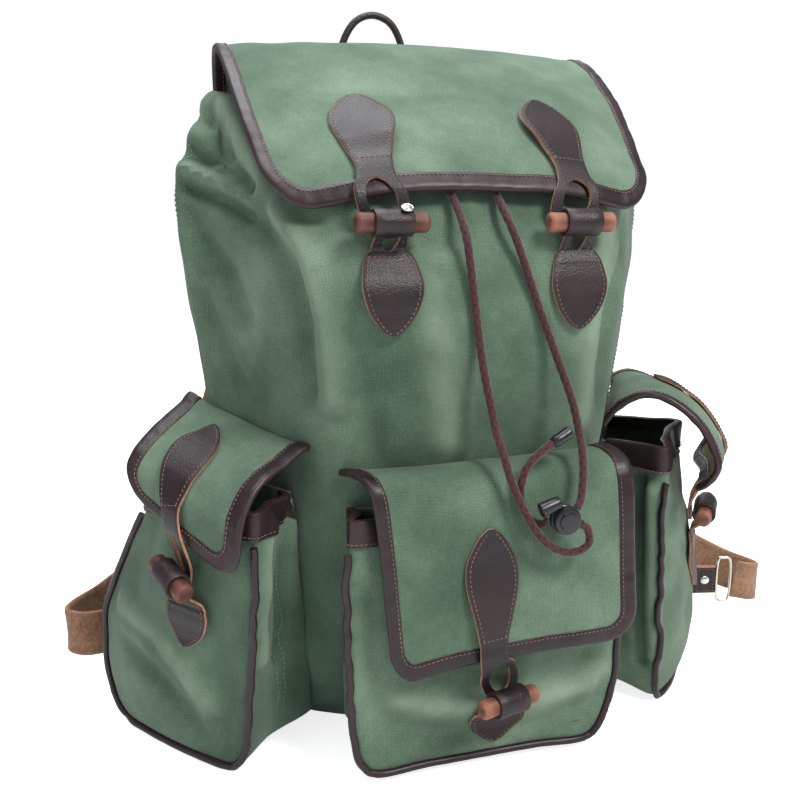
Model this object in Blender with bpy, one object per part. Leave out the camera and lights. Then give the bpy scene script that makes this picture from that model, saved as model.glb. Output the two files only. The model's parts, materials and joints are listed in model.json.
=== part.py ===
# Canvas rucksack with a leather-bound lid, three toggled pockets and a drawcord.
# Sizes are in metres. The front faces -Y, +X is to the viewer's right, and the bag stands on z = 0.
import bpy
import bmesh
import numpy as np
from math import cos, pi, radians, sin, sqrt
from mathutils import Vector
from mathutils.bvhtree import BVHTree

CANVAS_WALL = 0.0022
LEATHER = 0.0024
SEAT_GAP = 0.0006
PROBE = 0.024
FAR_PROBE = 0.140
PROBE_STEP = 0.005
FLAP_PROBE_STEP = 0.006
STRIP_MARGIN = 0.0010

BODY_SIDES = 44
BODY_SIDE_Y = 0.022
BODY_INNER_ROWS = (0, 3, 5, 7, 9, 11, 12, 13)
FOLD_COUNT = 11
FOLD_DEPTH = 0.0040
FOLD_START_Z = 0.350
FOLD_RISE = 0.075
FRONT_FOLD_SHARE = 0.45
CREASE_TOP = (0.130, 0.392)
CREASE_FOOT = (0.094, 0.245)
CREASE_WIDTH = 0.020
CREASE_DEPTH = 0.0060
CREASE_MIDDLE_Z = 0.315
CREASE_REACH = 0.110

# z, half widths of the front, the sides and the back, then the front's and the back's y
BODY_ROWS = (
    (0.000, 0.084, 0.106, 0.098, -0.024, 0.062),
    (0.005, 0.094, 0.118, 0.108, -0.034, 0.068),
    (0.018, 0.103, 0.132, 0.120, -0.045, 0.074),
    (0.045, 0.107, 0.142, 0.128, -0.060, 0.080),
    (0.110, 0.105, 0.150, 0.136, -0.073, 0.082),
    (0.190, 0.103, 0.158, 0.142, -0.085, 0.082),
    (0.250, 0.106, 0.166, 0.148, -0.097, 0.083),
    (0.300, 0.112, 0.173, 0.151, -0.107, 0.084),
    (0.345, 0.117, 0.180, 0.152, -0.104, 0.085),
    (0.386, 0.116, 0.182, 0.150, -0.084, 0.085),
    (0.416, 0.110, 0.178, 0.146, -0.060, 0.085),
    (0.442, 0.098, 0.170, 0.140, -0.026, 0.085),
    (0.460, 0.088, 0.157, 0.132, 0.000, 0.084),
    (0.466, 0.080, 0.146, 0.125, 0.012, 0.080),
)

LID_THICKNESS = 0.0026
LID_CORNER = 0.040
LID_ARCH = 0.006
LID_ACROSS = (-1.0, -0.75, -0.4, 0.0, 0.4, 0.75, 1.0)
# y and z of the lid's middle, its half width there, and how far its sides droop
LID_ROWS = (
    (0.0878, 0.4400, 0.144, 0.000),
    (0.0910, 0.4660, 0.145, 0.001),
    (0.0890, 0.4860, 0.146, 0.003),
    (0.0800, 0.5000, 0.147, 0.005),
    (0.0620, 0.5055, 0.148, 0.007),
    (0.0360, 0.4985, 0.148, 0.008),
    (0.0050, 0.4810, 0.147, 0.010),
    (-0.0270, 0.4580, 0.145, 0.012),
    (-0.0580, 0.4320, 0.141, 0.014),
    (-0.0820, 0.4090, 0.137, 0.015),
    (-0.0930, 0.3960, 0.134, 0.016),
)

BINDING_WIDTH = 0.0095
BINDING_THICKNESS = 0.0052
LID_SIDE_COUNT = 11
FLAP_SIDE_COUNT = 7
LID_COLUMNS = 12
FLAP_COLUMNS = 8
CORNER_STEPS = 5
HEM_STEPS = 5
PANEL_TURNS = (30.0, 60.0, 90.0)
PANEL_INSET = 0.0100
PIPING_RADIUS = 0.0026
PIPING_LOW = 0.0028
PIPING_GAP = 0.0009
PIPING_TOP_GAP = 0.0035
PIPING_FOOT_ROW = 1
PIPING_REACH = 0.020
PIPING_STATIONS = 34
PIPING_UNDERCUT = 0.0007
MOUTH_BAND = 0.017
BAND_CLEAR = 0.006
BAND_GAP = 0.0028
BAND_THICKNESS = 0.0022
BAND_RISE = 0.0016

# Pockets are measured along their outer face (s), inwards from it (q) and upwards (z)
SIDE_POCKET_CORNER = (0.168, -0.068)
SIDE_POCKET_SEATS = (-0.012, 0.074)
LEFT_MOUTH_Z = 0.190
RIGHT_MOUTH_Z = 0.210
RIGHT_FULLNESS = 1.6
# z, start and end of the outer face, bulge of its middle, swell of the rear gusset
SIDE_POCKET_ROWS = (
    (0.0035, 0.000, 0.114, 0.004, 0.000),
    (0.0080, -0.006, 0.125, 0.007, 0.004),
    (0.0200, -0.012, 0.133, 0.010, 0.008),
    (0.0450, -0.016, 0.139, 0.012, 0.013),
    (0.0900, -0.020, 0.131, 0.012, 0.018),
    (0.1380, -0.025, 0.106, 0.008, 0.012),
    (0.1700, -0.027, 0.086, 0.003, 0.006),
    (0.1900, -0.027, 0.078, -0.004, 0.003),
)
FRONT_POCKET_CENTRE = (0.005, -0.112)
FRONT_POCKET_SEATS = (-0.088, 0.088)
FRONT_POCKET_ROWS = (
    (0.0080, -0.084, 0.076, -0.002, 0.000),
    (0.0130, -0.091, 0.084, 0.001, 0.001),
    (0.0270, -0.097, 0.091, 0.003, 0.002),
    (0.0500, -0.099, 0.096, 0.005, 0.002),
    (0.0900, -0.100, 0.098, 0.008, 0.002),
    (0.1380, -0.101, 0.098, 0.008, 0.002),
    (0.1650, -0.100, 0.097, 0.003, 0.001),
    (0.1850, -0.098, 0.096, -0.005, 0.000),
)
POCKET_LIFT = 0.020
SEAT_MARGIN = 0.014
SEAT_LOW_Z = 0.045
SEAT_CLEAR = 0.0010
POCKET_SIDES = 26
POCKET_WALL = 0.0022

# Flap columns: s at the seam and at the hem, then (q, z) from the seam over the top and down
LEFT_FLAP = (
    (-0.033, -0.033, ((0.0560, 0.226), (0.0440, 0.225), (0.0270, 0.219), (0.0020, 0.209),
                      (-0.0135, 0.191), (-0.0175, 0.167), (-0.0175, 0.147))),
    (0.010, 0.010, ((0.0600, 0.230), (0.0450, 0.228), (0.0260, 0.221), (0.0020, 0.210),
                    (-0.0125, 0.195), (-0.0165, 0.178), (-0.0160, 0.162))),
    (0.045, 0.044, ((0.0640, 0.238), (0.0470, 0.236), (0.0280, 0.228), (0.0040, 0.217),
                    (-0.0110, 0.204), (-0.0155, 0.189), (-0.0150, 0.176))),
    (0.094, 0.075, ((0.0720, 0.247), (0.0560, 0.249), (0.0360, 0.242), (0.0060, 0.228),
                    (-0.0120, 0.214), (-0.0180, 0.202), (-0.0180, 0.191))),
)
RIGHT_FLAP = (
    (-0.030, -0.030, ((0.0540, 0.226), (0.0380, 0.240), (0.0160, 0.249), (-0.0080, 0.242),
              (-0.0260, 0.223), (-0.0360, 0.200), (-0.0200, 0.178))),
    (0.010, 0.012, ((0.0580, 0.232), (0.0400, 0.244), (0.0180, 0.250), (-0.0080, 0.242),
             (-0.0270, 0.223), (-0.0370, 0.200), (-0.0220, 0.178))),
    (0.045, 0.056, ((0.0640, 0.238), (0.0460, 0.247), (0.0240, 0.250), (-0.0010, 0.240),
             (-0.0210, 0.221), (-0.0320, 0.199), (-0.0190, 0.177))),
    (0.074, 0.100, ((0.0720, 0.242), (0.0560, 0.248), (0.0360, 0.247), (0.0120, 0.235),
             (-0.0080, 0.216), (-0.0200, 0.196), (-0.0090, 0.174))),
)
FRONT_FLAP = (
    (-0.099, -0.076, ((0.0195, 0.2110), (0.0120, 0.2125), (0.0000, 0.2110), (-0.0070, 0.2010),
              (-0.0100, 0.1700), (-0.0130, 0.1250), (-0.0160, 0.0760))),
    (-0.040, -0.030, ((0.0195, 0.2130), (0.0100, 0.2150), (-0.0050, 0.2120), (-0.0150, 0.1990),
              (-0.0180, 0.1680), (-0.0200, 0.1260), (-0.0200, 0.0860))),
    (0.030, 0.034, ((0.0195, 0.2150), (0.0100, 0.2170), (-0.0050, 0.2140), (-0.0150, 0.2010),
             (-0.0190, 0.1690), (-0.0220, 0.1280), (-0.0220, 0.0900))),
    (0.099, 0.099, ((0.0195, 0.2150), (0.0120, 0.2160), (-0.0020, 0.2130), (-0.0090, 0.2020),
             (-0.0140, 0.1700), (-0.0190, 0.1300), (-0.0230, 0.0900))),
)
FLAP_THICKNESS = 0.0026
FLAP_SEAM_GAP = 0.0016
FLAP_CORNER = 0.022

TOGGLE_LENGTH = 0.048
TOGGLE_RADIUS = 0.0065
TOGGLE_CHAMFER = 0.0018
TOGGLE_SIDES = 10
WRAP_LENGTH = 0.025
WRAP_WALL = 0.0019
WRAP_OUTER = 0.0091
# along the tab from its tip, half width, half width of the loop's eye, and whether the eye is open
TAB_ROWS = (
    (0.000, 0.0030, 0.0015, 0),
    (0.006, 0.0120, 0.0060, 0),
    (0.017, 0.0205, 0.0090, 0),
    (0.028, 0.0215, 0.0090, 0),
    (0.042, 0.0170, 0.0070, 0),
    (0.056, 0.0125, 0.0040, 0),
    (0.068, 0.0130, 0.0045, 1),
    (0.074, 0.0158, 0.0090, 1),
    (0.082, 0.0168, 0.0105, 1),
    (0.090, 0.0158, 0.0090, 1),
    (0.096, 0.0120, 0.0045, 0),
    (0.1005, 0.0060, 0.0025, 0),
)
# along the lower patch from the toggle: the two thongs, then the shield shape
PATCH_ROWS = (
    (0.000, 0.0105, 0.0055, 1),
    (0.012, 0.0120, 0.0062, 1),
    (0.0135, 0.0150, 0.0062, 0),
    (0.026, 0.0185, 0.0080, 0),
    (0.038, 0.0200, 0.0085, 0),
    (0.052, 0.0160, 0.0070, 0),
    (0.062, 0.0085, 0.0040, 0),
    (0.067, 0.0015, 0.0008, 0),
)

# The tab: how far down its flap it starts, x across the flap at its tip and hem, and its breadth
POCKET_TABS = {
    "side_pocket_left": (0.17, 0.018, -0.002, 0.74),
    "side_pocket_right": (0.26, 0.0155, 0.0155, 0.84),
    "front_pocket": (0.40, -0.0085, -0.0085, 0.84),
}
# The toggle's s, z and stand-off, its turn and dip in degrees, then the patch's drop and length
POCKET_TOGGLES = {
    "side_pocket_left": (0.028, 0.142, 0.0175, 16.0, -12.0, 0.021, 0.031),
    "side_pocket_right": (0.050, 0.146, 0.0155, 0.0, -6.0, 0.017, 0.048),
    "front_pocket": (0.003, 0.058, 0.0190, 16.0, 0.0, 0.017, 0.024),
}
TAB_DROP = (0.006, 0.010)
TAB_STAND_OFF = 0.0008
TAB_EDGE_RISE = 0.0003
PATCH_PROBES = (-0.016, 0.0, 0.016)
LID_TAB_X = (0.057, 0.064)
LID_TOGGLE_X = 0.065
LID_TOGGLE_Y = -0.1080
LID_TOGGLE_Z = 0.3750
LID_TAB_TIP = 0.665
LID_PATCH = (0.018, 0.052)

HAUL_RADIUS = 0.0028
HAUL_POINTS = (
    (-0.044, 0.0957, 0.4700), (-0.044, 0.0952, 0.4900), (-0.042, 0.0950, 0.5100),
    (-0.032, 0.0945, 0.5270), (-0.017, 0.0945, 0.5330), (-0.002, 0.0945, 0.5270),
    (0.007, 0.0950, 0.5100), (0.009, 0.0952, 0.4900), (0.009, 0.0957, 0.4700),
)

CORD_RADIUS = 0.00275
CORD_STEP = 0.0125
CORD_LEFT = (
    (-0.0180, -0.0850, 0.3930), (-0.0170, -0.0955, 0.3835), (-0.0155, -0.1060, 0.3680),
    (-0.0140, -0.1100, 0.3520),
    (-0.0090, -0.1112, 0.3130), (-0.0050, -0.1145, 0.2810), (0.0000, -0.1170, 0.2550),
    (0.0015, -0.1220, 0.2400), (0.0025, -0.1320, 0.2280), (0.0060, -0.1390, 0.2100),
    (0.0140, -0.1445, 0.1900), (0.0260, -0.1480, 0.1720), (0.0400, -0.1485, 0.1640),
    (0.0510, -0.1485, 0.1640), (0.0575, -0.1485, 0.1690), (0.0560, -0.1485, 0.1780),
    (0.0505, -0.1485, 0.1826),
)
CORD_RIGHT = (
    (0.0140, -0.0850, 0.3930), (0.0145, -0.0955, 0.3835), (0.0200, -0.1055, 0.3640),
    (0.0350, -0.1106, 0.3200), (0.0490, -0.1122, 0.2850), (0.0580, -0.1170, 0.2580),
    (0.0605, -0.1225, 0.2400), (0.0590, -0.1320, 0.2260), (0.0565, -0.1390, 0.2120),
    (0.0525, -0.1445, 0.1985), (0.0486, -0.1472, 0.1929),
)
CORD_TAIL = (
    (0.0290, -0.1457, 0.1853), (0.0235, -0.1410, 0.1825), (0.0170, -0.1378, 0.1880),
    (0.0130, -0.1365, 0.2000), (0.0140, -0.1365, 0.2120), (0.0190, -0.1360, 0.2220),
    (0.0290, -0.1350, 0.2300), (0.0360, -0.1340, 0.2335),
)
CORD_END_LENGTH = 0.014
CORD_END_RADIUS = 0.0042
CORD_LOCK_CENTRE = (0.0400, -0.1480, 0.1860)
CORD_END_LOWER = (0.0297, -0.1495, 0.1971)
CORD_END_WAY = (0.940, 0.0, 0.342)
CORD_END_UP = (-0.342, 0.0, 0.940)
CORD_LOCK_RADIUS = 0.0095
CORD_LOCK_DEPTH = 0.0125
CORD_LOCK_EDGE = 0.002
CORD_END_GAP = 0.0004
# Distance along each cord end and the radius there
CORD_END_UPPER_SHAPE = (
    (0.0, 0.0033), (0.003, CORD_END_RADIUS),
    (CORD_END_LENGTH, CORD_END_RADIUS), (CORD_END_LENGTH + 0.001, 0.0032),
)
CORD_END_LOWER_SHAPE = ((-0.009, 0.0048), (-0.007, 0.0050), (0.004, 0.0042), (0.006, 0.0030))

STRAP_WIDTH = 0.036
STRAP_THICKNESS = 0.0030
STRAP_STATIONS = 28
STRAP_RIGHT = (
    (0.034, 0.0898, 0.4300), (0.038, 0.0960, 0.4120), (0.062, 0.1280, 0.3600),
    (0.105, 0.1500, 0.2750), (0.160, 0.1550, 0.1850), (0.222, 0.1350, 0.1150),
    (0.275, 0.1050, 0.0720), (0.318, 0.0800, 0.0460), (0.344, 0.0620, 0.0360),
    (0.350, 0.0530, 0.0340), (0.340, 0.0470, 0.0360), (0.324, 0.0510, 0.0390),
)
STRAP_LEFT = (
    (-0.034, 0.0898, 0.4300), (-0.046, 0.0960, 0.4120), (-0.085, 0.1220, 0.3600),
    (-0.120, 0.1250, 0.2850), (-0.146, 0.1240, 0.2050), (-0.172, 0.1200, 0.1350),
    (-0.208, 0.1120, 0.0900), (-0.240, 0.1020, 0.0690), (-0.264, 0.0900, 0.0610),
    (-0.273, 0.0780, 0.0580), (-0.262, 0.0700, 0.0560), (-0.245, 0.0720, 0.0550),
)
WING_THICKNESS = 0.0022
WING_ROWS = 5
WING_LOW = 0.022
WING_HIGH = 0.125
WING_ROOT_Y = (0.062, 0.074)
WING_GAP = 0.0024
ANCHOR_WIDTH = 0.028
ANCHOR_LENGTH = 0.020
RING_CORNERS = (
    (0.000, -0.017), (0.000, 0.017), (0.006, 0.021),
    (0.012, 0.017), (0.012, -0.017), (0.006, -0.021),
)
ANCHOR_THICKNESS = 0.0046
RING_RADIUS = 0.0014
RING_GAP = 0.0026
ANCHOR_GAP = 0.0005
ANCHOR_EASE = 0.001
WING_TIP_GAP = 0.0012

MATERIALS = {
    "canvas": ((0.17, 0.29, 0.20), 0.9, 0.0),
    "leather": ((0.035, 0.017, 0.020), 0.45, 0.0),
    "suede": ((0.26, 0.13, 0.07), 0.9, 0.0),
    "wood": ((0.33, 0.11, 0.06), 0.6, 0.0),
    "cord": ((0.10, 0.025, 0.025), 0.8, 0.0),
    "plastic": ((0.012, 0.013, 0.018), 0.35, 0.0),
    "nickel": ((0.75, 0.73, 0.68), 0.25, 1.0),
}


# Curves through given points

def curve_point(points, t, closed=False):
    count = len(points)
    spans = count if closed else count - 1
    place = (t % 1.0 if closed else min(max(t, 0.0), 1.0)) * spans
    first = min(int(place), spans - 1)
    f = place - first

    def pick(k):
        if closed:
            return points[k % count]
        if k < 0:
            return 2 * points[0] - points[1]
        if k >= count:
            return 2 * points[-1] - points[-2]
        return points[k]

    a, b, c, d = (pick(first + k) for k in (-1, 0, 1, 2))
    return 0.5 * (2 * b + (c - a) * f + (2 * a - 5 * b + 4 * c - d) * f**2
                  + (3 * b - a - 3 * c + d) * f**3)


def even_points(points, count, closed=False):
    points = [np.array(p, float) for p in points]
    spans = len(points) * 10
    ts = np.linspace(0.0, 1.0, spans + 1)
    dense = np.array([curve_point(points, t, closed) for t in ts[:-1]])
    last = dense[0] if closed else points[-1]
    dense = np.vstack([dense, last])
    steps = np.linalg.norm(np.diff(dense, axis=0), axis=1)
    run = np.concatenate([[0.0], np.cumsum(steps)])
    wanted = np.linspace(0.0, run[-1], count + 1 if closed else count)
    even = np.stack([np.interp(wanted, run, dense[:, k]) for k in range(dense.shape[1])], 1)
    return even[:-1] if closed else even


def curve_length(points):
    path = even_points(points, 200)
    return float(np.linalg.norm(np.diff(path, axis=0), axis=1).sum())


def unit(vector):
    return vector / np.linalg.norm(vector)


# Building objects

def own_material(name, finish):
    colour, roughness, metallic = MATERIALS[finish]
    material = bpy.data.materials.new(name + "_" + finish)
    material.use_nodes = True
    shader = material.node_tree.nodes["Principled BSDF"]
    shader.inputs["Base Color"].default_value = (*colour, 1.0)
    shader.inputs["Roughness"].default_value = roughness
    shader.inputs["Metallic"].default_value = metallic
    return material


def make_object(name, verts, faces, finish):
    mesh = bpy.data.meshes.new(name)
    mesh.from_pydata([tuple(float(c) for c in v) for v in verts], [], faces)
    shell = bmesh.new()
    shell.from_mesh(mesh)
    bmesh.ops.recalc_face_normals(shell, faces=shell.faces)
    shell.to_mesh(mesh)
    shell.free()
    mesh.shade_smooth()
    mesh.set_sharp_from_angle(angle=radians(50))
    made = bpy.data.objects.new(name, mesh)
    bpy.context.collection.objects.link(made)
    mesh.materials.append(own_material(name, finish))
    return made


def surface_of(made):
    return BVHTree.FromPolygons([v.co.copy() for v in made.data.vertices],
                                [tuple(p.vertices) for p in made.data.polygons])


def push_needed(point, outward, hosts, clear):
    """How far a point has to move outwards to stand clear of every host."""
    start = Vector(point + outward * PROBE)
    needed = 0.0
    for host in hosts:
        hit = host.ray_cast(start, Vector(-outward), PROBE + clear)[0]
        if hit is not None:
            needed = max(needed, float(np.dot(np.array(hit) - point, outward)) + clear)
    return needed


def surfaces(*names):
    return [surface_of(bpy.data.objects[name]) for name in names]


def ring_normals(rings):
    grid = np.array(rings)
    around = np.roll(grid, -1, axis=1) - np.roll(grid, 1, axis=1)
    upward = np.gradient(grid, axis=0)
    normals = np.cross(around, upward)
    normals /= np.linalg.norm(normals, axis=2, keepdims=True) + 1e-12
    middle = grid.mean(axis=1, keepdims=True)
    outward = ((grid - middle) * normals).sum(axis=2).mean()
    return normals if outward > 0 else -normals


def hollow_shell(name, rings, wall, inner_rows, finish):
    """An open-topped pouch: outer rings from the bottom up, an inner wall and a floor."""
    grid = np.array(rings)
    inner = grid - ring_normals(grid) * wall
    floor = grid[0, :, 2].mean() + wall
    inner[:, :, 2] = np.maximum(inner[:, :, 2], floor)
    inner[-1, :, 2] = grid[-1, :, 2]
    rows = [grid[k] for k in range(len(grid))] + [inner[k] for k in reversed(inner_rows)]
    sides = grid.shape[1]
    verts = [v for row in rows for v in row]
    faces = []
    for r in range(len(rows) - 1):
        for i in range(sides):
            j = (i + 1) % sides
            faces.append((r * sides + i, r * sides + j, (r + 1) * sides + j, (r + 1) * sides + i))
    for r in (0, len(rows) - 1):
        hub = len(verts)
        verts.append(np.mean(rows[r], axis=0))
        for i in range(sides):
            faces.append((r * sides + i, r * sides + (i + 1) % sides, hub))
    return make_object(name, verts, faces, finish)


def swept(name, frames, outline, finish, closed=False):
    """Sweep a closed outline; frames hold the origin, the outline's x and y directions."""
    size = len(outline)
    verts = [o + u * x + v * y for o, u, v in frames for x, y in outline]
    faces = []
    count = len(frames)
    for r in range(count if closed else count - 1):
        a = r * size
        b = (r + 1) % count * size
        for i in range(size):
            j = (i + 1) % size
            faces.append((a + i, a + j, b + j, b + i))
    if not closed:
        faces.append(tuple(range(size)))
        faces.append(tuple(range((count - 1) * size, count * size)))
    return make_object(name, verts, faces, finish)


def path_frames(path, side_hint):
    path = np.array(path)
    tangents = np.gradient(path, axis=0)
    frames = []
    for k, point in enumerate(path):
        hint = side_hint[k] if np.ndim(side_hint) == 2 else np.array(side_hint)
        tangent = unit(tangents[k])
        side = unit(hint - tangent * np.dot(hint, tangent))
        frames.append((point, side, np.cross(tangent, side)))
    return frames


def round_outline(radius, sides):
    return [(radius * cos(2 * pi * k / sides), radius * sin(2 * pi * k / sides)) for k in range(sides)]


def pierced_strip(name, centres, across, normals, rows, thickness, finish):
    """A flat strip along a path. Rows give half widths and, where open, an eye down its middle."""
    verts = []
    for k, (_, outer, eye, _) in enumerate(rows):
        for x in (-outer, -eye, eye, outer):
            base = centres[k] + across[k] * x
            verts.append(base + normals[k] * thickness / 2)
            verts.append(base - normals[k] * thickness / 2)
    faces = []
    cells = set()
    for k in range(len(rows) - 1):
        for c in range(3):
            if c != 1 or not (rows[k][3] and rows[k + 1][3]):
                cells.add((k, c))

    def corner(k, c, layer):
        return (k * 4 + c) * 2 + layer

    for k, c in sorted(cells):
        square = ((k, c), (k, c + 1), (k + 1, c + 1), (k + 1, c))
        faces.append(tuple(corner(*p, 0) for p in square))
        faces.append(tuple(corner(*p, 1) for p in reversed(square)))
        neighbours = ((k - 1, c), (k, c + 1), (k + 1, c), (k, c - 1))
        for e in range(4):
            if neighbours[e] in cells:
                continue
            p, q = square[e], square[(e + 1) % 4]
            faces.append((corner(*q, 0), corner(*p, 0), corner(*p, 1), corner(*q, 1)))
    return make_object(name, verts, faces, finish)


# The body

def body_outline(row):
    _, front, side, back, front_y, back_y = row
    side_y = max(BODY_SIDE_Y, front_y + 0.042)
    right = [
        (0.60 * front, front_y + 0.002),
        (front, front_y + 0.020),
        (0.52 * front + 0.48 * side, 0.40 * front_y + 0.60 * side_y),
        (side, side_y),
        (0.35 * side + 0.65 * back, 0.35 * side_y + 0.65 * (back_y - 0.012)),
        (back - 0.006, back_y - 0.004),
        (0.60 * back, back_y),
    ]
    left = [(-x, y) for x, y in reversed(right)]
    return [(0.0, front_y)] + right + [(0.0, back_y)] + left


def gathered(ring, z):
    """Pull the collar into folds, and press a crease beside each front corner."""
    fold = min(max((z - FOLD_START_Z) / FOLD_RISE, 0.0), 1.0)
    slope = min(max((CREASE_TOP[1] - z) / (CREASE_TOP[1] - CREASE_FOOT[1]), 0.0), 1.0)
    crease_x = CREASE_TOP[0] + (CREASE_FOOT[0] - CREASE_TOP[0]) * slope
    crease_fade = max(0.0, 1.0 - abs(z - CREASE_MIDDLE_Z) / CREASE_REACH)
    middle = ring.mean(axis=0)
    for k, point in enumerate(ring):
        outward = unit(point - middle)
        side_weight = abs(outward[0]) ** 0.7
        front_weight = FRONT_FOLD_SHARE if outward[1] < 0.3 else 0.0
        wave = cos(2 * pi * FOLD_COUNT * k / len(ring)) * FOLD_DEPTH * fold
        shift = wave * max(side_weight * (outward[1] < 0.75), front_weight)
        if outward[1] < 0:
            near = np.exp(-(((abs(point[0]) - crease_x) / CREASE_WIDTH) ** 2))
            shift -= CREASE_DEPTH * crease_fade * near
        ring[k] = point + outward * shift
    return ring


def body_rings():
    rings = []
    for row in BODY_ROWS:
        flat = even_points(body_outline(row), BODY_SIDES, closed=True)
        flat = gathered(flat, row[0])
        rings.append([np.array((x, y, row[0])) for x, y in flat])
    return rings


def build_body():
    return hollow_shell("main_bag", body_rings(), CANVAS_WALL, BODY_INNER_ROWS, "canvas")


# Sheets: a function place(x, y) gives the point of a sheet x across its middle and y down from its seam

def net_sheet(columns, width, length):
    columns = [even_points(column, 25) for column in columns]

    def point(x, y):
        a = min(max(0.5 + x / width, 0.0), 1.0)
        b = min(max(y / length, 0.0), 1.0)
        across = [curve_point(column, b) for column in columns]
        return curve_point(across, a)

    def place(x, y):
        x = min(max(x, -width / 2), width / 2)
        y = min(max(y, 0.0), length)
        here = point(x, y)
        step = 0.002
        along_x = point(x + step, y) - point(x - step, y)
        along_y = point(x, y + step) - point(x, y - step)
        normal = unit(np.cross(along_x, along_y))
        return here, normal, unit(along_x)

    return place


def hem_outline(width, length, corner, inset, side_count):
    """Down the first side, round the hem and up the other side, at a distance in from the edge."""
    half = width / 2
    path = [(-half, (length - corner) * k / side_count, -1.0, 0.0) for k in range(side_count)]
    for k in range(CORNER_STEPS + 1):
        turn = pi / 2 * k / CORNER_STEPS
        x = -half + corner - corner * cos(turn)
        path.append((x, length - corner + corner * sin(turn), -cos(turn), sin(turn)))
    first, last = -half + corner, half - corner
    for k in range(1, HEM_STEPS):
        path.append((first + (last - first) * k / HEM_STEPS, length, 0.0, 1.0))
    path += [(-x, y, -nx, ny) for x, y, nx, ny in reversed(path[:side_count + CORNER_STEPS + 1])]
    return [(x - nx * inset, y - ny * inset) for x, y, nx, ny in path]


def sheet_panel(name, place, width, length, corner, inset, thickness, columns, side_count, finish):
    """The cloth inside the binding: a grid whose lower corners are rounded."""
    half = width / 2 - inset
    radius = max(corner - inset, 0.001)
    depth = length - inset
    rows = []
    places = [(depth - radius) * k / side_count for k in range(side_count + 1)]
    places += [depth - radius + radius * sin(radians(turn)) for turn in PANEL_TURNS]
    for y in places:
        over = max(0.0, y - (depth - radius))
        reach = half - radius + sqrt(max(radius**2 - over**2, 0.0))
        rows.append([(reach * (2 * c / columns - 1), y) for c in range(columns + 1)])
    verts = []
    for layer in (0.5, -0.5):
        for row in rows:
            for x, y in row:
                here, normal, _ = place(x, y)
                verts.append(here + normal * thickness * layer)
    size = len(rows) * (columns + 1)
    faces = []
    for r in range(len(rows) - 1):
        for c in range(columns):
            a = r * (columns + 1) + c
            b = a + columns + 1
            faces.append((a, a + 1, b + 1, b))
            faces.append((size + a, size + b, size + b + 1, size + a + 1))
    last = (len(rows) - 1) * (columns + 1)
    rim = list(range(columns + 1))
    rim += [r * (columns + 1) + columns for r in range(1, len(rows))]
    rim += [last + c for c in range(columns - 1, -1, -1)]
    rim += [r * (columns + 1) for r in range(len(rows) - 2, 0, -1)]
    for k, a in enumerate(rim):
        b = rim[(k + 1) % len(rim)]
        faces.append((b, a, size + a, size + b))
    return make_object(name, verts, faces, finish)


def sheet_binding(name, place, width, length, corner, side_count, finish):
    """The leather strip folded over a sheet's three free edges."""
    thick = BINDING_THICKNESS / 2
    outline = (
        (0.0, 0.0), (0.0020, thick), (BINDING_WIDTH, 0.75 * thick),
        (BINDING_WIDTH, -0.75 * thick), (0.0020, -thick),
    )
    lines = [hem_outline(width, length, corner, depth, side_count) for depth, _ in outline]
    stations = len(lines[0])
    verts = []
    for k in range(stations):
        for line, (_, height) in zip(lines, outline):
            here, normal, _ = place(*line[k])
            verts.append(here + normal * height)
    size = len(outline)
    faces = []
    for k in range(stations - 1):
        for i in range(size):
            j = (i + 1) % size
            faces.append((k * size + i, k * size + j, (k + 1) * size + j, (k + 1) * size + i))
    faces.append(tuple(range(size)))
    faces.append(tuple(range((stations - 1) * size, stations * size)))
    return make_object(name, verts, faces, finish)


# The lid

def lid_columns():
    middle = np.array([(y, z) for y, z, _, _ in LID_ROWS])
    tangents = np.gradient(middle, axis=0)
    columns = []
    for fraction in LID_ACROSS:
        reach = abs(fraction)
        column = []
        for k, (y, z, half, droop) in enumerate(LID_ROWS):
            tangent = unit(tangents[k])
            outward = np.array((tangent[1], -tangent[0]))
            outward = outward if outward[1] >= 0 or outward[0] > 0 else -outward
            sink = droop * reach**2.4
            y2, z2 = np.array((y, z)) - outward * sink
            if k == len(LID_ROWS) - 1:
                z2 -= LID_ARCH * min(reach / 0.75, 1.0) ** 2
            column.append(np.array((fraction * half, y2, z2)))
        columns.append(column)
    return columns


def lid_sheet():
    columns = lid_columns()
    width = 2 * max(row[2] for row in LID_ROWS)
    length = curve_length(columns[len(columns) // 2])
    place = net_sheet(columns, width, length)

    def upward(x, y):
        here, normal, across = place(x, y)
        return here, -normal, across

    return upward, width, length


def build_lid():
    place, width, length = lid_sheet()
    sheet = (place, width, length, LID_CORNER)
    sheet_panel("lid", *sheet, PANEL_INSET, LID_THICKNESS, LID_COLUMNS, LID_SIDE_COUNT, "canvas")
    sheet_binding("lid_binding", *sheet, LID_SIDE_COUNT, "leather")


# Pockets

class Pocket:
    """A pocket's own frame: s along its face, q inwards, z up."""

    def __init__(self, name, corner, along, inward, rows, seats, rise=0.0, fullness=1.0):
        self.name = name
        self.corner = np.array((corner[0], corner[1], 0.0))
        self.along = np.array((along[0], along[1], 0.0))
        self.inward = np.array((inward[0], inward[1], 0.0))
        self.rows = rows[:-1] + ((rows[-1][0] + rise, *rows[-1][1:]),)
        self.seats = seats
        self.fullness = fullness

    def world(self, s, q, z):
        return self.corner + self.along * s + self.inward * q + np.array((0.0, 0.0, z))

    def seat_depth(self, body, s, z):
        s = min(max(s, self.seats[0] - SEAT_MARGIN), self.seats[1])
        start = self.world(s, -0.060, max(z, SEAT_LOW_Z))
        hit = body.ray_cast(Vector(start), Vector(self.inward))[0]
        return float(np.dot(np.array(hit) - self.world(s, 0.0, 0.0), self.inward)) - SEAT_CLEAR


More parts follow.
